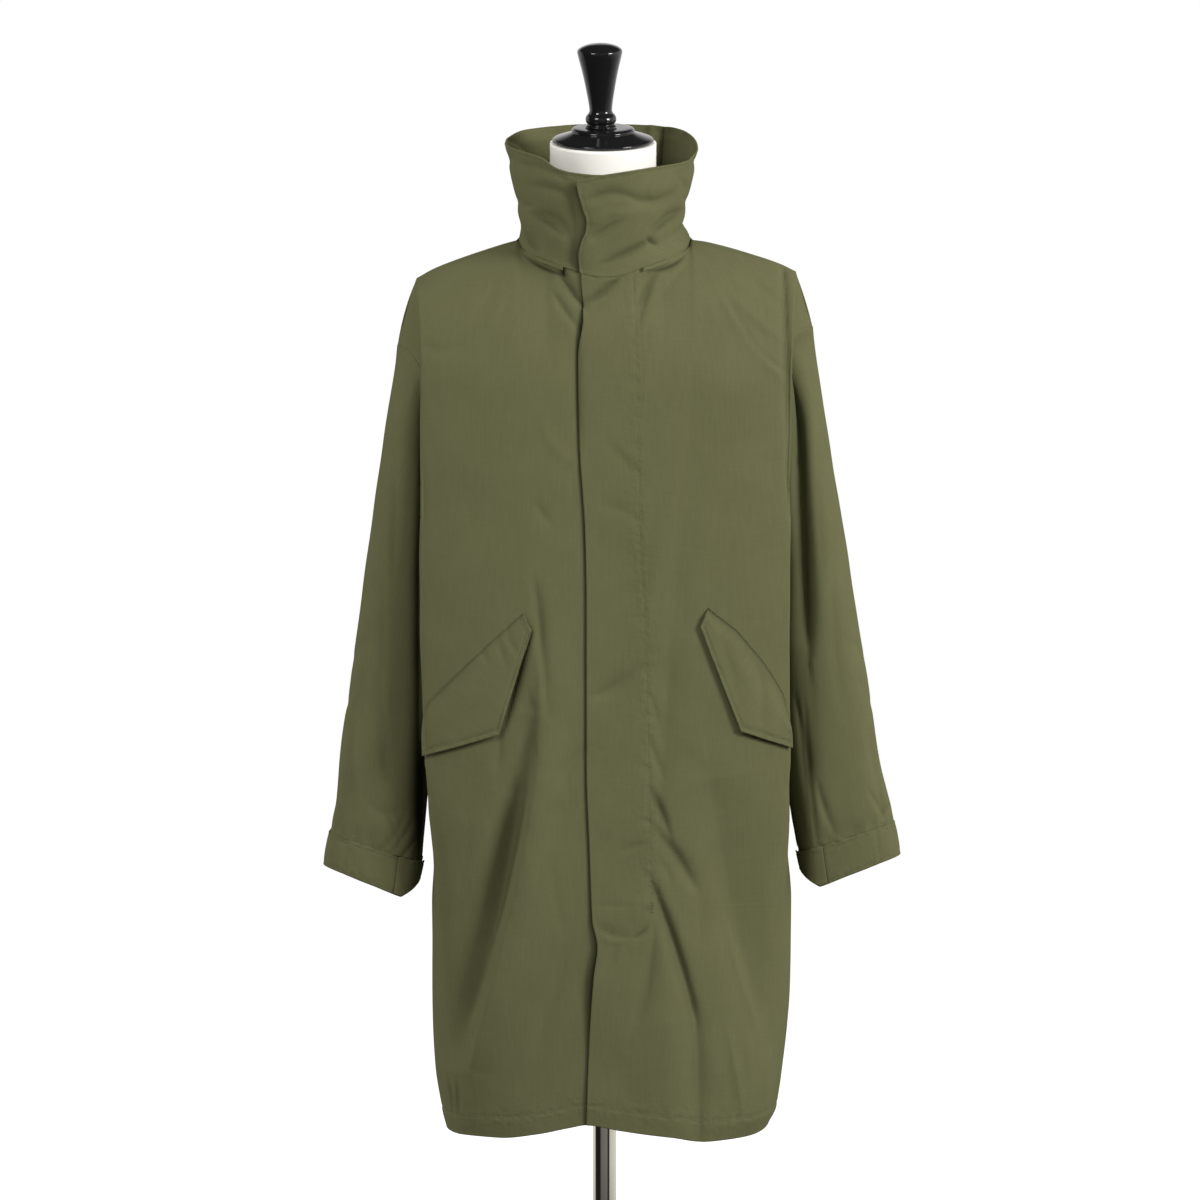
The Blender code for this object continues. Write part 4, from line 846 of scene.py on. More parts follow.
# ---------------------------------------------------------------- sleeves
# One-piece drop-shoulder sleeves of the same cloth. They hang straight from the armhole seam, with
# a few folds at the elbow and gathers into the cuff.
SLEEVE_COLUMNS = "s out_x out_z in_x in_z front back".split()
SLEEVES = {
    RIGHT: (
        (0.00, 0.2375, 1.313, 0.172, 1.130, 0.068, 0.068),
        (0.12, 0.2495, 1.235, 0.185, 1.098, 0.080, 0.076),
        (0.28, 0.2640, 1.135, 0.189, 1.045, 0.078, 0.078),
        (0.44, 0.2773, 1.043, 0.191, 0.985, 0.074, 0.075),
        (0.62, 0.2916, 0.928, 0.196, 0.892, 0.070, 0.069),
        (0.78, 0.3043, 0.836, 0.203, 0.815, 0.068, 0.060),
        (0.90, 0.3090, 0.784, 0.208, 0.756, 0.067, 0.052),
        (1.00, 0.3160, 0.756, 0.210, 0.723, 0.064, 0.046),
    ),
    LEFT: (
        (0.00, 0.2385, 1.334, 0.175, 1.130, 0.068, 0.068),
        (0.12, 0.2500, 1.250, 0.187, 1.098, 0.080, 0.076),
        (0.28, 0.2690, 1.135, 0.192, 1.045, 0.078, 0.078),
        (0.44, 0.2842, 1.036, 0.194, 0.985, 0.074, 0.075),
        (0.62, 0.3035, 0.920, 0.200, 0.892, 0.070, 0.069),
        (0.78, 0.3167, 0.836, 0.208, 0.820, 0.068, 0.060),
        (0.90, 0.3280, 0.788, 0.217, 0.768, 0.067, 0.052),
        (1.00, 0.3320, 0.768, 0.2225, 0.7345, 0.064, 0.046),
    ),
}
SLEEVE_FRONT = {
    RIGHT: (
        (-204, 1390, -205, 1080, -209, 780, 9.0, 10, 11), (-257, 935, -252, 855, -242, 806, 3.4, 8, 6),
        (-270, 794, -250, 779, -228, 788, 1.6, 5, 7), (-250, 779, -241, 762, -233, 748, 2.4, 3, 3),
        (-256, 722, -234, 745, -219, 772, 1.6, 3, 3), (-268, 728, -241, 752, -224, 790, 1.4, 3, 4),
        (-244, 714, -226, 735, -212, 756, 1.4, 3, 3), (-298, 794, -307, 776, -306, 756, -2.4, 5, 6),
        (-247, 1245, -238, 1150, -242, 1035, 2.4, 9, 8), (-264, 1105, -252, 1010, -256, 915, 2.4, 10, 9),
        (-282, 905, -284, 850, -280, 800, -2.0, 10, 9),
    ),
    LEFT: (
        (219, 1500, 219, 1380, 222, 1180, 13.0, 14, 20), (220, 1330, 225, 1120, 231, 960, 19.0, 34, 10),
        (229, 1080, 232, 950, 238, 790, 5.0, 34, 16),
        (214, 914, 228, 840, 242, 736, 3.0, 4, 5), (225, 910, 229, 868, 233, 820, 2.0, 3, 3),
        (242, 818, 249, 786, 264, 752, 3.0, 4, 4), (303, 894, 317, 815, 333, 743, -2.6, 6, 6),
        (297, 887, 311, 815, 322, 753, 2.4, 5, 5), (317, 773, 323, 783, 331, 795, 3.4, 3, 3),
        (301, 806, 309, 792, 318, 775, 2.4, 3, 3), (252, 1252, 244, 1160, 249, 1045, 2.4, 8, 9),
        (264, 1092, 260, 1000, 270, 895, 2.8, 9, 11), (286, 1000, 292, 930, 296, 860, -1.8, 10, 9),
    ),
}
SLEEVE_BACK = (
    (212, 1190, 238, 1080, 232, 950, 3.4, 8, 9), (224, 992, 262, 952, 292, 941, 3.6, 7, 9),
    (218, 943, 250, 920, 286, 899, 3.0, 6, 8), (240, 885, 258, 820, 271, 742, 3.2, 7, 8),
    (222, 865, 232, 800, 241, 732, 2.8, 5, 5), (256, 1240, 262, 1150, 256, 1060, -2.2, 12, 10),
)
SLEEVE_SIDE = (
    (-52, 1190, -32, 1060, -42, 930, 2.8, 9, 10), (-66, 982, -40, 955, -14, 958, 2.0, 6, 9),
    (-60, 932, -38, 908, -12, 902, 2.0, 6, 8), (30, 1130, 44, 1020, 34, 920, 2.8, 10, 9),
    (-24, 870, -30, 810, -22, 742, 2.2, 6, 6), (18, 860, 16, 800, 24, 744, 2.2, 5, 5),
)
# Painted shade on the sleeves, columns as in FRONT_CREASES with the darkness for the depth: thin dark lines
# along the inner seams, a broad dark wedge low on the wearer's right sleeve where it hangs close to the
# skirt, and a band beside the body on the wearer's left.
SLEEVE_LINES = {
    RIGHT: ((-215, 990, -213, 960, -211, 930, 0.3, 2, 2), (-207, 890, -208, 790, -208, 680, 1.3, 13, 10)),
    LEFT: ((217, 945, 227, 840, 237, 745, 0.55, 2, 2), (222, 920, 228, 860, 233, 800, 0.3, 2, 2),
           (207, 1400, 208, 1300, 209, 1200, 0.3, 3, 3)),
}
GATHERS, GATHER_DEEP = 19, 0.0008  # small pleats round the sleeve where it runs into the cuff
CUFF_NIP, ARMHOLE_RISE = 0.0003, 0.0006


def armhole_ring(turn, side):
    """Armhole seam; turn 0 under the arm, 0.25 in front, 0.5 at the shoulder, 0.75 behind."""
    turn = np.asarray(turn, float) % 1.0
    half = np.where(turn <= 0.5, turn, 1 - turn) * 2
    level = UNDERARM + half * (CROWN - UNDERARM)
    ahead, behind = (body(2.0, level, side, facing) for facing in (FRONT, BACK))
    return np.where((turn <= 0.5)[..., None], ahead, behind)


def sleeve_across(turn):
    """How far across the sleeve a point is, 0 under the arm to 1 outside; its section is boxy."""
    return (1 - power(np.cos(turn * 2 * math.pi), 0.80)) / 2


def sleeve(turn, s, side):
    """Outer face of a sleeve: turn round it from the underarm seam by the front, s along it."""
    turn, s = np.broadcast_arrays(np.asarray(turn, float), np.asarray(s, float))
    table = columns(SLEEVE_COLUMNS, SLEEVES[side])
    across = sleeve_across(turn)
    deep = power(np.sin(turn * 2 * math.pi), 0.66 - 0.28 * ease(0.3, 0.85, s))

    def ring(at):
        row = {name: smooth(table["s"], table[name], at) for name in SLEEVE_COLUMNS}
        x = row["in_x"] + (row["out_x"] - row["in_x"]) * across
        z = row["in_z"] + (row["out_z"] - row["in_z"]) * across
        return np.stack([x * side, -np.where(deep > 0, row["front"], row["back"]) * deep, z], axis=-1)

    onto_seam = armhole_ring(turn, side) - ring(np.zeros_like(s))
    return ring(s) + onto_seam * (1 - ease(0.0, 0.16, s))[..., None]


def mirrored(rows, side):
    """The table for the other side of the body."""
    return [
        (side * x0, z0, side * x1, z1, side * x2, z2, depth, *((below, above)[::side]))
        for x0, z0, x1, z1, x2, z2, depth, below, above in rows
    ]


sleeve_turns = np.arange(124) / 124
sleeve_steps = spread((0.0, 0.004, 0.012, 0.97, 1.0), (2, 2, 138, 8))[:, None]
for side, word, flat in ((RIGHT, "right", (0.46, 0.60)), (LEFT, "left", (0.46, 0.61))):
    grid = sleeve(sleeve_turns, sleeve_steps, side)
    out = outward(grid, closed=True)
    hold = ease(0.0, 0.035, sleeve_steps)
    moved = creased(grid, out, SLEEVE_FRONT[side], (0, FRONT, 0), hold)
    moved += creased(grid, out, mirrored(SLEEVE_BACK, side), (0, BACK, 0), hold)
    moved += creased(grid, out, SLEEVE_SIDE, (side, 0, 0), hold)
    moved += rolling(grid, 0.0028, 20 + side) * hold
    angle = sleeve_turns * 2 * math.pi
    wander = angle * GATHERS + 1.3 * np.sin(angle * 5 + side)
    deep = 0.6 + 0.4 * np.sin(angle * 4 + 1.0)
    moved -= GATHER_DEEP * (1 + np.cos(wander)) * deep * ease(0.90, 1.0, sleeve_steps)
    moved -= CUFF_NIP * ease(0.985, 1.0, sleeve_steps)
    moved += ARMHOLE_RISE * fade(sleeve_steps, 0.012)
    grid = grid + out * moved[..., None]
    seam = np.clip(fade(sleeve_steps, 0.018) + fade(1 - sleeve_steps, 0.03) + 0 * sleeve_turns, 0, 1)
    dark = tight(grid, out, SLEEVE_LINES[side], (0, FRONT, 0))
    piece = cloth_piece("sleeve_cloth_" + word, grid, outward(grid, closed=True), olive, seam, closed=True,
                        shade=dark)
    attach(piece, "root")
    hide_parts("sleeve_" + word)


# ---------------------------------------------------------------- cuffs and cuff tabs
# Straight bands sewn round the sleeve ends, each with a pointed tab whose free end stands off on
# the inner side.
CUFF_DEPTH, CUFF_FLARE, CUFF_STANDS = 0.037, 0.006, 0.0003
CUFF_DROOP, CUFF_CUT, CUFF_CORNER = 0.20, 0.36, 0.15  # deepest at a corner, cut back under the arm
TAB_FROM, TAB_TO = 0.175, -0.040
TAB_WALL = 0.0013
TAB_STANDS, TAB_OUT, TAB_CUT, TAB_DROP, TAB_INSET = 0.0017, 0.0020, 0.05, 0.20, 0.0008
CUFF_STITCH = 0.0035  # from either edge
CUFF_LINES = (CUFF_STITCH, CUFF_DEPTH - CUFF_STITCH)
CUFF_GROOVE, CUFF_GROOVE_WIDE, CUFF_FULLER = 0.0005, 0.0012, 0.0006
CUFF_DENTS, DENT_DEEP, DENT_WIDE = (0.10, 0.17, 0.33, 0.66), 0.0008, 0.008  # upright, by the turn round it
TAB_STITCH, TAB_GROOVE, TAB_GROOVE_WIDE, TAB_LONG = 0.004, 0.0004, 0.0013, 0.06


def cuff(turn, down, side, out=0.0):
    """Outer face of a cuff: turn round it as on the sleeve, down it in metres, moved out by out."""
    turn, down = np.broadcast_arrays(np.asarray(turn, float), np.asarray(down, float))
    end = sleeve(turn, np.ones_like(turn), side)
    middle = np.mean(sleeve(np.arange(16) / 16, np.ones(16), side), axis=0)
    stands = np.broadcast_to(CUFF_STANDS + out, turn.shape)[..., None]
    points = end + unit((end - middle) * (1, 1, 0)) * stands
    points[..., 0] += side * CUFF_FLARE * down / CUFF_DEPTH
    round_it = np.abs((turn + 0.5) % 1.0 - 0.5)
    droop = CUFF_DROOP * bump(round_it - 0.13, 0.14)
    droop = droop - CUFF_CUT * np.clip(1 - sleeve_across(turn) / CUFF_CORNER, 0, 1)
    points[..., 2] -= down * (1 + droop)
    return points


cuff_grids = {}
cuff_turns = np.arange(132) / 132
cuff_downs = spread((0.0003, 0.0015, CUFF_LINES[0], 0.005, CUFF_DEPTH - 0.005, CUFF_LINES[1],
                     CUFF_DEPTH - 0.0015, CUFF_DEPTH), (1, 1, 1, 9, 1, 1, 1))[:, None]
for side, word in ((RIGHT, "right"), (LEFT, "left")):
    grid = cuff(cuff_turns, cuff_downs, side)
    out = outward(grid, closed=True)
    moved = rolling(grid, 0.003, 30 + side) + CUFF_FULLER * np.sin(math.pi * cuff_downs / CUFF_DEPTH)
    moved = moved - CUFF_GROOVE * sum(bump(cuff_downs - at, CUFF_GROOVE_WIDE) for at in CUFF_LINES)
    moved = moved - DENT_DEEP * sum(bump(cuff_turns - at, DENT_WIDE) for at in CUFF_DENTS)
    grid = grid + out * moved[..., None]
    cuff_grids[side] = (grid, outward(grid, closed=True))
    seam = np.clip(sum(fade(cuff_downs - at, 0.006) for at in (0.002, CUFF_DEPTH - 0.003)), 0, 1)
    piece = cloth_piece("cuff_cloth_" + word, *cuff_grids[side], olive, seam + 0 * cuff_turns, closed=True)
    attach(piece, "root")
    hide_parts("cuff_" + word)

    along = np.linspace(0, 1, 44)
    turn = TAB_FROM + (TAB_TO - TAB_FROM) * along
    stands = TAB_STANDS + TAB_OUT * ease(0.55, 1.0, along) ** 1.5
    cut = TAB_CUT * ease(0.78, 1.0, along)
    down = spread((0.02, 0.06, 0.12, 0.88, 0.94, 1.0), (1, 1, 8, 1, 1))[:, None]
    taper = cut * down - TAB_DROP * ease(0.66, 0.95, along) * (1 - down)
    grid = cuff(turn, TAB_INSET + (CUFF_DEPTH - 2 * TAB_INSET) * (down - taper), side, out=stands)
    middle = np.mean(cuff(np.arange(16) / 16, np.full(16, 0.02), side), axis=0)
    out = outward(grid, middle=middle)
    rim = np.minimum(np.minimum(down, 1 - down) * CUFF_DEPTH, (1 - along) * TAB_LONG)
    grid = grid - out * (TAB_GROOVE * bump(rim - TAB_STITCH, TAB_GROOVE_WIDE))[..., None]
    piece = cloth_piece("tab_cloth_" + word, grid, outward(grid, middle=middle), olive, fade(rim, 0.006),
                        wall=TAB_WALL)
    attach(piece, "root")
    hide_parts("cuff_tab_" + word)


# ---------------------------------------------------------------- collar
# A long double stand sewn to the neck seam, its ends lapped left over right. It has no stiffening:
# it sinks in creases under its own weight and rolls out at the top.
COLLAR_COLUMNS = "h half front back".split()
COLLAR = (
    (0.00, 0.0985, 0.107, 0.088), (0.17, 0.0920, 0.108, 0.084), (0.30, 0.0955, 0.109, 0.082),
    (0.45, 0.0978, 0.111, 0.081), (0.65, 0.1028, 0.114, 0.080), (0.82, 0.1065, 0.117, 0.081),
    (1.00, 0.1080, 0.118, 0.081),
)
COLLAR_SHIFT = -0.0038
COLLAR_TOP = (
    (-25, 1.500), (0, 1.500), (14, 1.5025), (26, 1.508), (37, 1.521), (55, 1.530), (80, 1.540),
    (100, 1.549), (130, 1.563), (180, 1.571), (225, 1.566), (262, 1.546), (285, 1.528),
    (305, 1.5170), (335, 1.508), (360, 1.500), (375, 1.494), (385, 1.494),
)
COLLAR_START, COLLAR_END = -19.0, 374.5
COLLAR_LAP = (  # where the upper end's edge runs: height, x
    (1.384, -0.0259), (1.395, -0.0284), (1.410, -0.0296), (1.426, -0.0259), (1.438, -0.0206),
    (1.448, -0.0197), (1.463, -0.0243), (1.482, -0.0296), (1.494, -0.0315),
)
LAP_STANDS = 0.0026
COLLAR_TALL, DEGREE_LONG = 0.12, 0.0019  # about how high it is, and how long a degree of it is
COLLAR_EDGE = 0.0035  # its top and end are stitched this far in
COLLAR_GROOVE, COLLAR_GROOVE_WIDE, COLLAR_ROLL = 0.0005, 0.0013, 0.0022
LAP_DARK, LAP_DARK_WIDE = 0.85, 0.0055  # no light gets under the lapped end
COLLAR_FRONT = (
    # upper end, wearer's left
    (-20, 1471, 5, 1480, 34, 1475, 5.0, 5, 7), (27, 1476, 52, 1471, 80, 1485, 4.6, 5, 8),
    (93, 1467, 71, 1453, 50, 1430, 6.5, 5, 9), (48, 1431, 53, 1427, 61, 1424, 4.0, 3, 3),
    (50, 1428, 27, 1415, -8, 1399, 5.0, 4, 5), (20, 1450, -5, 1436, -16, 1427, 4.0, 3, 5),
    (2, 1464, -6, 1452, -16, 1446, -2.0, 6, 5), (66, 1440, 58, 1436, 50, 1437, -2.0, 5, 4),
    (40, 1460, 20, 1458, 0, 1462, -1.6, 8, 6), (84, 1500, 92, 1490, 96, 1478, 2.6, 5, 5),
    # under end, wearer's right
    (-87, 1463, -62, 1447, -45, 1431, 5.0, 5, 6), (-72, 1461, -51, 1446, -38, 1424, 4.0, 4, 5),
    (-91, 1440, -85, 1429, -73, 1417, 3.6, 3, 5), (-84, 1490, -57, 1484, -34, 1471, 3.4, 5, 6),
    (-98, 1515, -72, 1509, -44, 1495, 2.6, 5, 5), (-38, 1486, -34, 1440, -35, 1392, 4.6, 10, 8),
    (-102, 1480, -92, 1470, -80, 1468, 2.8, 4, 4),
)
COLLAR_INSIDE = (
    (68, 1572, 66, 1536, 61, 1490, -6.0, 3, 5), (-112, 1550, -90, 1539, -72, 1515, -7.0, 4, 6),
    (-60, 1568, -50, 1540, -54, 1503, -2.6, 8, 7), (20, 1570, 24, 1540, 22, 1498, -2.2, 9, 8),
    (88, 1566, 92, 1536, 84, 1500, -4.0, 6, 6), (54, 1570, 55, 1545, 50, 1510, 4.0, 6, 5),
)
COLLAR_SIDE = ((-60, 1527, -20, 1522, 40, 1530, 2.2, 6, 8), (-60, 1481, -10, 1476, 40, 1482, 2.0, 7, 6))
# Painted shade in the collar's colour: the deep line inside it by the neck, and its tightest creases in
# front; same columns, with the darkness for the depth.
INSIDE_LINES = ((68, 1575, 66, 1536, 61, 1480, 0.9, 3, 2),)
COLLAR_LINES = (
    (93, 1467, 71, 1453, 50, 1430, 0.3, 3, 3), (48, 1431, 53, 1427, 61, 1424, 0.5, 2, 2),
    (50, 1428, 27, 1415, -8, 1399, 0.3, 3, 3), (-20, 1471, 5, 1480, 34, 1475, 0.2, 3, 3),
    (-87, 1463, -62, 1447, -45, 1431, 0.3, 3, 3), (-91, 1440, -85, 1429, -73, 1417, 0.3, 3, 3),
)


def neck_curve(angle, half=NECK_HALF, front=NECK_FRONT, back=NECK_BACK):
    """x and y of a ring round the neck; angle in degrees from the centre front by the wearer's right."""
    turn = np.radians(angle)
    x = -half * power(np.sin(turn), 2 / NECK_POWER)
    return x, -np.where(np.cos(turn) > 0, front, back) * power(np.cos(turn), 2 / NECK_POWER)


def collar(angle, h):
    """Outer face of the collar: the way round in degrees as in COLLAR_TOP, h up it."""
    angle, h = np.broadcast_arrays(np.asarray(angle, float), np.asarray(h, float))
    table = columns(COLLAR_COLUMNS, COLLAR)
    x, y = neck_curve(angle, *(smooth(table["h"], table[name], h) for name in ("half", "front", "back")))
    foot_y = neck_curve(angle)[1]
    foot_z = pairs(NECK_HEIGHT, foot_y)
    lap = LAP / 2 * (ease(300, 372, angle) - 1 + ease(-12, 60, angle))
    turn = np.radians(angle)
    x = x - lap * np.sin(turn) + COLLAR_SHIFT * ease(0.0, 0.2, h)
    y = y - lap * np.cos(turn)
    z = foot_z + (pairs(COLLAR_TOP, angle) - foot_z) * h + 0.0001 * (1 - h)
    if angle.max() >= COLLAR_END:
        x = x + (pairs(COLLAR_LAP, z) - x[:, -1:]) * ease(325, COLLAR_END, angle)
    return np.stack([x, y, z], axis=-1)


collar_angles = spread(
    (COLLAR_START, COLLAR_START + 0.8, COLLAR_START + 2.5, COLLAR_END - 3.2, COLLAR_END - 1.9,
     COLLAR_END - 0.6, COLLAR_END), (1, 1, 250, 2, 2, 1))
collar_heights = spread((0.0, 0.012, 0.030, 0.955, 0.974, 0.992, 1.0), (1, 1, 48, 1, 2, 1))[:, None]
grid = collar(collar_angles, collar_heights)
out = outward(grid)
hold = ease(0.0, 0.06, collar_heights)
moved = creased(grid, out, COLLAR_FRONT, (0, FRONT, 0), hold)
moved += creased(grid, out, COLLAR_INSIDE, (0, BACK, 0), hold)
for side in (RIGHT, LEFT):
    moved += creased(grid, out, COLLAR_SIDE, (side, 0, 0), hold)
moved += rolling(grid, 0.0035, 41) * hold
from_top = (1 - collar_heights) * COLLAR_TALL
from_end = (COLLAR_END - collar_angles)[None, :] * DEGREE_LONG
rim = np.minimum(from_top, from_end)
moved -= COLLAR_GROOVE * bump(rim - COLLAR_EDGE, COLLAR_GROOVE_WIDE)
moved += LAP_STANDS * fade(from_end, 0.012) * ease(0.0, 0.25, collar_heights)
rolls = ease(20, 60, collar_angles) * (1 - ease(290, 320, collar_angles))
moved += COLLAR_ROLL * ease(0.86, 1.0, collar_heights) * rolls
grid = grid + out * moved[..., None]
collar_grid = (grid, outward(grid))
seam = np.maximum(fade(rim, 0.006), fade(collar_heights * COLLAR_TALL, 0.008))
dark = tight(grid, out, COLLAR_LINES, (0, FRONT, 0))
dark = np.maximum(dark, tight(grid, out, INSIDE_LINES, (0, BACK, 0)))
# Painted shade on the under end beside the upper end's lapped edge, up to the rim.
beyond = np.maximum(pairs(COLLAR_LAP, grid[..., 2]) - grid[..., 0], 0)
under_end = collar_angles[None, :] < 60
below_rim = 1 - ease(1.486, 1.492, grid[..., 2])
dark = np.maximum(dark, under_end * below_rim * LAP_DARK * fade(beyond, LAP_DARK_WIDE))
piece = cloth_piece("collar_cloth", *collar_grid, olive, np.clip(seam, 0, 1), wall=0.0021, shade=dark)
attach(piece, "root")
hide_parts("collar")


# ---------------------------------------------------------------- pocket flaps
# Slanted flaps on the fronts over the pocket mouths, sewn along the upper edge and stitched round
# the other edges; they stand a little off the fronts.
FLAP_COLUMNS = "share top_x top_z low_x low_z".split()
FLAPS = {
    RIGHT: (
        (0.00, 0.0915, 1.0100, 0.0826, 0.9906), (0.30, 0.1250, 0.9800, 0.0985, 0.9375),
        (0.56, 0.1500, 0.9560, 0.1180, 0.8737), (0.80, 0.1800, 0.9265, 0.1630, 0.8598),
        (0.93, 0.1980, 0.9085, 0.1905, 0.8520), (1.00, 0.2040, 0.8950, 0.2045, 0.8480),
    ),
    LEFT: (
        (0.00, 0.1165, 1.0152, 0.1070, 0.9945), (0.30, 0.1486, 0.9905, 0.1285, 0.9380),
        (0.56, 0.1800, 0.9535, 0.1520, 0.8770), (0.80, 0.2010, 0.9200, 0.1810, 0.8670),
        (1.00, 0.2085, 0.8880, 0.2095, 0.8575),
    ),
}
FLAP_GAP, FLAP_LIFT, FLAP_EDGE = 0.0006, 0.0034, 0.0055
FLAP_LONG, FLAP_POINT, POINT_LIFT, POINT_WIDE = 0.19, 0.56, 0.0010, 0.12
FLAP_GROOVE, FLAP_GROOVE_WIDE, TOP_GROOVE, TOP_GROOVE_WIDE = 0.0009, 0.0016, 0.0024, 0.0016
# Painted shade on the flaps: dark in the sunk seam along the upper edge, and faintly in the stitch groove
# round the other edges.
FLAP_SEAM_SHADE, FLAP_SEAM_SHADE_WIDE = {RIGHT: 0.5, LEFT: 1.1}, 0.0022
FLAP_STITCH_SHADE, FLAP_STITCH_SHADE_WIDE = 0.25, 0.0008
FLAP_CREASES = (
    (-112, 997, -107, 982, -98, 964, 1.6, 4, 4), (-123, 986, -116, 968, -108, 946, 1.5, 4, 4),
    (-141, 969, -136, 962, -129, 955, 1.2, 4, 4), (128, 987, 140, 950, 151, 898, 2.0, 8, 8),
    (170, 957, 176, 920, 174, 878, 1.8, 7, 6), (196, 927, 198, 900, 194, 870, 1.5, 5, 5),
)
flap_grids = {}
flap_along = spread((0.0, 0.01, 0.035, 0.30, FLAP_POINT - 0.015, FLAP_POINT, FLAP_POINT + 0.015, 0.965, 0.99,
                     1.0), (1, 1, 13, 12, 1, 1, 20, 1, 1))
flap_down = spread((0.0, 0.012, 0.03, 0.86, 0.93, 0.98, 1.0), (1, 2, 20, 2, 2, 1))[:, None]
for side, word, flat in ((RIGHT, "right", (0.200, 0.092)), (LEFT, "left", (0.185, 0.088))):
    table = columns(FLAP_COLUMNS, FLAPS[side])
    top_x, top_z, low_x, low_z = (np.interp(flap_along, table["share"], table[n]) for n in FLAP_COLUMNS[1:])
    x = top_x + (low_x - top_x) * flap_down
    z = top_z + (low_z - top_z) * flap_down
    grid = front_face(np.minimum(x / front_width(z, side), 1.0), z, side)
    out = outward(grid)
    width = np.hypot(low_x - top_x, low_z - top_z)
    rim = np.minimum((1 - flap_down) * width, np.minimum(flap_along, 1 - flap_along) * FLAP_LONG)
    moved = front_moves(grid, out) + FLAP_GAP + WALL + FLAP_LIFT * ease(0.0, 0.5, flap_down)
    moved += creased(grid, out, FLAP_CREASES, (0, FRONT, 0))
    moved -= FLAP_GROOVE * bump(rim - FLAP_EDGE, FLAP_GROOVE_WIDE)
    moved -= TOP_GROOVE * fade(flap_down * width, TOP_GROOVE_WIDE)
    moved += POINT_LIFT * bump(flap_along - FLAP_POINT, POINT_WIDE) * ease(0.5, 1.0, flap_down)
    grid = grid + out * moved[..., None]
    flap_grids[side] = (grid, outward(grid), rim)
    # painted shade in the top seam and the stitch groove
    dark = FLAP_SEAM_SHADE[side] * fade(flap_down * width, FLAP_SEAM_SHADE_WIDE)
    dark = dark + FLAP_STITCH_SHADE * bump(rim - FLAP_EDGE, FLAP_STITCH_SHADE_WIDE)
    piece = cloth_piece("flap_cloth_" + word, grid, outward(grid), olive, fade(rim, 0.008), shade=dark)
    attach(piece, "root")
    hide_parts("pocket_flap_" + word)


# ---------------------------------------------------------------- hood loops
# Short strips of the cloth along the neck seam, sewn down at their ends, that a hood is fastened to.
HOOD_STRIPS = (
    ("hood_loop_right", RIGHT, 0.048, 0.080, 0.0026), ("hood_loop_left", LEFT, 0.044, 0.072, 0.0017),
)
STRIP_BELOW, STRIP_WIDTH, STRIP_THICK, STRIP_RISES, STRIP_STEPS = 0.004, 0.007, 0.0015, 0.0015, 28
STRIP_BOW, STRIP_END, STRIP_END_LONG = 0.0008, 0.0034, 0.006  # its middle and inner end stand further out
for name, side, near, far, stands in HOOD_STRIPS:
    x = np.linspace(near, far, STRIP_STEPS)
    levels = CROWN - STRIP_BELOW - STRIP_WIDTH * spread((0.0, 0.12, 0.88, 1.0), (1, 4, 1))[:, None]
    grid = front_face(x / (NECK_HALF / NECK_SHARE), levels, side) + np.array((0.0, -stands, STRIP_RISES))
    grid[..., 1] -= STRIP_BOW * np.sin(np.linspace(0, math.pi, STRIP_STEPS)) ** 2
    grid[..., 1] -= STRIP_END * bump(x - near, STRIP_END_LONG)
    seam = np.full(grid.shape[:2], 0.4)
    piece = cloth_piece(name + "_cloth", grid, outward(grid), olive, seam, wall=STRIP_THICK)
    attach(piece, "root")
    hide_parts(name)
    front = "front_" + name.split("_")[-1]


# ---------------------------------------------------------------- stitching
# Lock stitches of olive thread, about nine to the inch, sunk along the fly, the hem, the cuffs,
# the flaps and the collar's edge. A bar tack closes the fly's line.
STITCH_PITCH, STITCH_LENGTH, THREAD, THREAD_LIES = 0.0029, 0.0022, 0.00030, 0.00008
FLY_TOP = 1.383  # where the fly's stitching starts
SECOND_ROW, SECOND_FROM, SECOND_TO = 0.007, 1.245, 1.335  # beside the first
TACK_ROWS, TACK_HALF = (-0.0014, -0.0007, 0.0, 0.0007, 0.0014), 0.006
FLAP_COLUMN, FLAP_UPPER, FLAP_ROW = 24, 12, 8  # a flap's middle column, its upper rows, one of them
THREAD_COLOUR = (0.105, 0.103, 0.047)


def thread_look():
    look, shader, start = finish_look("olive_thread", Roughness=0.5)
    place = start.node("TexCoord", {}, output="Object")
    feed(shader, "Base Color", noise(start, place, 700.0).colours(OLIVE_DARK, THREAD_COLOUR))
    return look


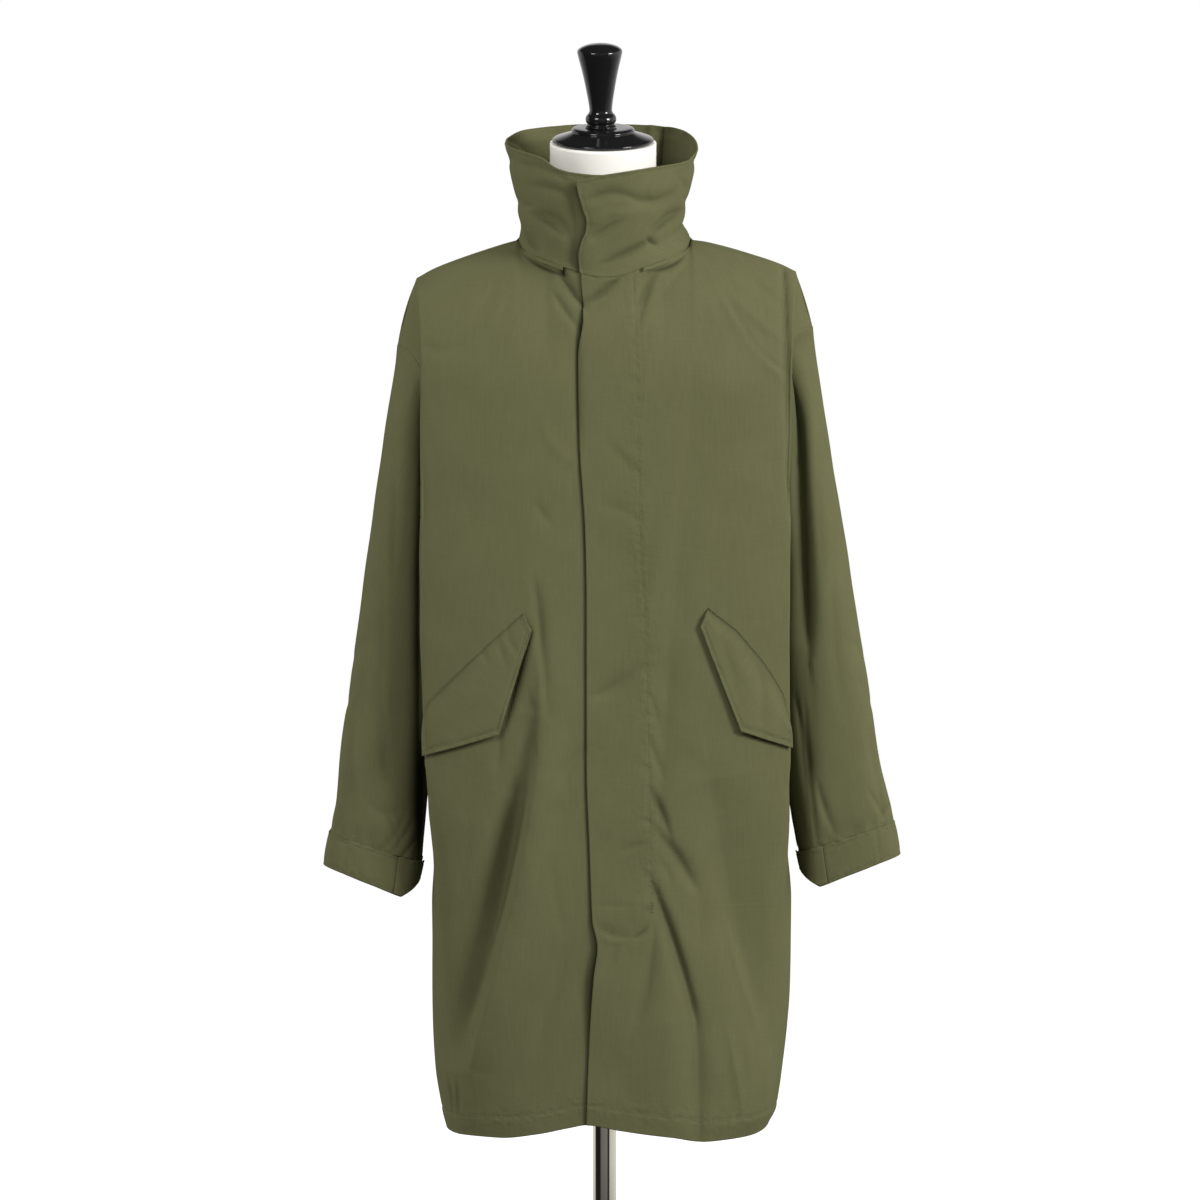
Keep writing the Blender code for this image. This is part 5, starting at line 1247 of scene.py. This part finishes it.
def stitch_tree(look):
    """Geometry nodes that lay one stitch at every pitch along the lines."""
    tree = bpy.data.node_groups.new("stitches", "GeometryNodeTree")
    tree.interface.new_socket("Geometry", in_out="INPUT", socket_type="NodeSocketGeometry")
    for name in ("Pitch", "Length", "Radius"):
        tree.interface.new_socket(name, in_out="INPUT", socket_type="NodeSocketFloat")
    tree.interface.new_socket("Geometry", in_out="OUTPUT", socket_type="NodeSocketGeometry")

    def node(kind, inputs, **settings):
        made = tree.nodes.new(kind)
        for name, setting in settings.items():
            setattr(made, name, setting)
        for name, value in inputs.items():
            if isinstance(value, bpy.types.NodeSocket):
                tree.links.new(value, made.inputs[name])
            else:
                made.inputs[name].default_value = value
        return made

    given = tree.nodes.new("NodeGroupInput").outputs
    lines = node("GeometryNodeMeshToCurve", {"Mesh": given["Geometry"]}).outputs[0]
    points = node("GeometryNodeResampleCurve", {"Curve": lines, "Length": given["Pitch"]},
                  mode="LENGTH").outputs[0]
    along = node("GeometryNodeInputTangent", {}).outputs[0]
    turn = node("FunctionNodeAlignRotationToVector", {"Vector": along}, axis="Z").outputs[0]
    ball = node("GeometryNodeMeshUVSphere", {"Segments": 6, "Rings": 4, "Radius": 1.0}).outputs[0]
    size = node("ShaderNodeCombineXYZ", {
        "X": given["Radius"], "Y": given["Radius"], "Z": given["Length"]}).outputs[0]
    placed = node("GeometryNodeInstanceOnPoints", {
        "Points": points, "Instance": ball, "Rotation": turn, "Scale": size}).outputs[0]
    real = node("GeometryNodeRealizeInstances", {"Geometry": placed}).outputs[0]
    dressed = node("GeometryNodeSetMaterial", {"Geometry": real, "Material": look}).outputs[0]
    tree.links.new(dressed, tree.nodes.new("NodeGroupOutput").inputs[0])
    return tree


def stitched(name, lines, tree):
    """The stitches along the lines as one plain mesh."""
    mesh = bpy.data.meshes.new(name + "_lines")
    points = np.concatenate(lines)
    first = np.cumsum([0] + [len(line) for line in lines])
    edges = [(i, i + 1) for a, b in zip(first[:-1], first[1:]) for i in range(a, b - 1)]
    mesh.from_pydata(points.tolist(), edges, [])
    path = bpy.data.objects.new(name + "_lines", mesh)
    bpy.context.scene.collection.objects.link(path)
    laid = path.modifiers.new("stitches", "NODES")
    laid.node_group = tree
    values = {"Pitch": STITCH_PITCH, "Length": STITCH_LENGTH / 2, "Radius": THREAD}
    for item in tree.interface.items_tree:
        if item.in_out == "INPUT" and item.name in values:
            laid[item.identifier] = values[item.name]
    bpy.context.view_layer.update()
    ready = path.evaluated_get(bpy.context.evaluated_depsgraph_get())
    made = bpy.data.objects.new(name, bpy.data.meshes.new_from_object(ready))
    bpy.data.objects.remove(path)
    bpy.context.scene.collection.objects.link(made)
    return made


def lifted(points, out):
    return points + out * THREAD_LIES


def at_row(grid, out, row):
    return lifted(grid[row], out[row])


def down_front(side, x_from_row, low, high):
    """A line down a front at the x given for each row, between two heights."""
    grid, out = front_grids[side][:2]
    line = []
    for r in range(len(grid)):
        if low <= grid[r, 0, 2] <= high:
            x = grid[r, :, 0] * side
            place = lifted(grid[r], out[r])
            line.append([np.interp(x_from_row[r] * side, x, place[:, i]) for i in range(3)])
    return np.array(line)


hem_row = int(np.argmin(np.abs(body_levels[:, 0] - HEM - HEM_STITCH)))
stitch_x = front_grids[LEFT][3]
tree = stitch_tree(thread_look())
front_lines = [
    down_front(LEFT, stitch_x, FLY_TACK, FLY_TOP),
    down_front(LEFT, stitch_x + SECOND_ROW, SECOND_FROM, SECOND_TO),
    at_row(*front_grids[LEFT][:2], hem_row), at_row(*front_grids[RIGHT][:2], hem_row),
    at_row(*back_grid, hem_row),
]
for shift in TACK_ROWS:
    front_lines.append(down_front(LEFT, stitch_x + shift, FLY_TACK - TACK_HALF, FLY_TACK + TACK_HALF))
band_lines = []
for side in (RIGHT, LEFT):
    grid, out = cuff_grids[side]
    for at in CUFF_LINES:
        row = int(np.argmin(np.abs(cuff_downs[:, 0] - at)))
        ring = at_row(grid, out, row)
        band_lines.append(np.concatenate([ring, ring[:1]]))
    grid, out, rim = flap_grids[side]
    row = int(np.argmin(np.abs(rim[:, FLAP_COLUMN] - FLAP_EDGE) + (np.arange(len(rim)) < FLAP_UPPER)))
    off = np.abs(rim[FLAP_ROW] - FLAP_EDGE)
    first, last = int(np.argmin(off[:FLAP_COLUMN])), FLAP_COLUMN + int(np.argmin(off[FLAP_COLUMN:]))
    face = lifted(grid, out)
    band_lines.append(np.concatenate([
        face[1:row, first], face[row, first:last + 1], face[1:row, last][::-1]]))
    band_lines.append(face[1, first:last + 1])
grid, out = collar_grid
face = lifted(grid, out)
top_row = int(np.argmin(np.abs(from_top[:, 0] - COLLAR_EDGE)))
end_column = int(np.argmin(np.abs(from_end[0] - COLLAR_EDGE)))
band_lines.append(np.concatenate([face[top_row, 4:end_column], face[2:top_row, end_column][::-1]]))
for name, lines in (("body_stitches", front_lines), ("band_stitches", band_lines)):
    piece = stitched(name, lines, tree)
    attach(piece, "root")


# ---------------------------------------------------------------- studio
# Pale floor and background, a broad soft light from the wearer's left and front, a weaker one from
# the right, and the camera where the photo was taken.
TARGET = Vector((-0.0053, 0.0, 1.02))
DISTANCE, ELEVATION, FOCAL = 5.2, math.radians(2.0), 135.65
FLOOR_RADIUS = 30.0
# The walls of the studio by the way round, in degrees from the camera's side towards the wearer's
# left: how bright each is. Dark cloth hangs on the wearer's right.
WALLS = (
    (-180, 0.95), (-108, 0.95), (-96, 0.02), (-42, 0.015), (-36, 0.20), (26, 0.26), (31, 0.02),
    (45, 0.03), (52, 0.80), (110, 1.00), (180, 0.95),
)
CEILING, UNDER_FLOOR = 0.03, 0.03
SOFTENED = 0.28  # what all of them together cast on rough surfaces


def stage_look(name, shade, glow):
    look, shader, start = finish_look(name, Roughness=0.9, Specular_IOR_Level=0.1)
    shader.inputs["Base Color"].default_value = (shade, shade, shade, 1.0)
    shader.inputs["Emission Color"].default_value = (1.0, 1.0, 1.0, 1.0)
    shader.inputs["Emission Strength"].default_value = glow
    return look


def disc(name, radius, look, steps=96):
    angle = np.linspace(0, 2 * math.pi, steps, endpoint=False)
    points = np.stack([radius * np.cos(angle), radius * np.sin(angle), 0 * angle], axis=-1)
    mesh = bpy.data.meshes.new(name)
    mesh.from_pydata(points.tolist(), [], [tuple(range(steps))])
    mesh.materials.append(look)
    made = bpy.data.objects.new(name, mesh)
    bpy.context.scene.collection.objects.link(made)
    return made


floor = disc("floor", FLOOR_RADIUS, stage_look("floor_white", 0.60, 0.80))
floor.visible_diffuse = False
floor.visible_glossy = False


def area_light(name, place, size, power_w, colour=(1.0, 1.0, 1.0), aim=(0.0, 0.0, 1.0)):
    light = bpy.data.lights.new(name, "AREA")
    light.shape = "RECTANGLE"
    light.size, light.size_y = size
    light.energy = power_w
    light.color = colour
    made = bpy.data.objects.new(name, light)
    made.location = place
    made.rotation_euler = (Vector(aim) - Vector(place)).to_track_quat("-Z", "Y").to_euler()
    bpy.context.scene.collection.objects.link(made)
    return made


area_light("key", (3.35, -2.45, 2.4), (1.3, 1.4), 170)
area_light("fill", (-2.0, -3.1, 3.0), (1.3, 1.4), 76)
for soft in (area_light("top", (0.4, -0.6, 3.8), (1.2, 1.2), 11),
             area_light("edge_left", (-4.2, 0.3, 1.5), (0.8, 2.4), 56),
             area_light("edge_right", (4.2, 0.75, 1.6), (0.8, 2.4), 50)):
    soft.visible_glossy = False


def studio_world():
    """Walls of several shades that light the object, and plain white where the camera looks."""
    made = bpy.data.worlds.new("studio")
    made.use_nodes = True
    tree = made.node_tree
    start = Value(tree, None)
    way = start.node("TexCoord", {}, output="Generated")
    x, y, z = (start.node("SeparateXYZ", {0: way}, output=i) for i in range(3))
    turn = start.maths("ARCTAN2", x, -1.0 * y) * (0.5 / math.pi) + 0.5
    ramp = tree.nodes.new("ShaderNodeValToRGB")
    tree.links.new(turn.socket, ramp.inputs[0])
    marks = ramp.color_ramp.elements
    while len(marks) > 1:
        marks.remove(marks[-1])
    for i, (angle, shade) in enumerate(WALLS):
        mark = marks[0] if i == 0 else marks.new((angle + 180) / 360)
        mark.position = (angle + 180) / 360
        mark.color = (shade, shade * 0.99, shade * 0.975, 1.0)
    walls = Value(tree, ramp.outputs[0])
    over = start.node("MapRange", {0: z, 1: 0.42, 2: 0.62})
    under = start.node("MapRange", {0: z, 1: -0.15, 2: -0.6})
    seen_shiny = over.colours(under.colours(walls, (UNDER_FLOOR,) * 3), (CEILING,) * 3)
    rough = start.node("LightPath", {}, output="Is Diffuse Ray")
    lit = rough.colours(seen_shiny, (SOFTENED,) * 3)
    seen = start.node("LightPath", {}, output="Is Camera Ray")
    shown = seen.colours(lit, (1.0, 1.0, 1.0))
    tree.links.new(shown.socket, tree.nodes["Background"].inputs["Color"])
    return made


bpy.context.scene.world = studio_world()
bpy.context.scene.view_settings.view_transform = "Standard"

camera = bpy.data.cameras.new("camera")
camera.lens, camera.sensor_width = FOCAL, 36.0
camera.clip_end = 100.0
camera_object = bpy.data.objects.new("camera", camera)
camera_object.location = TARGET + DISTANCE * Vector((0.0, -math.cos(ELEVATION), math.sin(ELEVATION)))
camera_object.rotation_euler = (TARGET - camera_object.location).to_track_quat("-Z", "Y").to_euler()
bpy.context.scene.collection.objects.link(camera_object)
bpy.context.scene.camera = camera_object
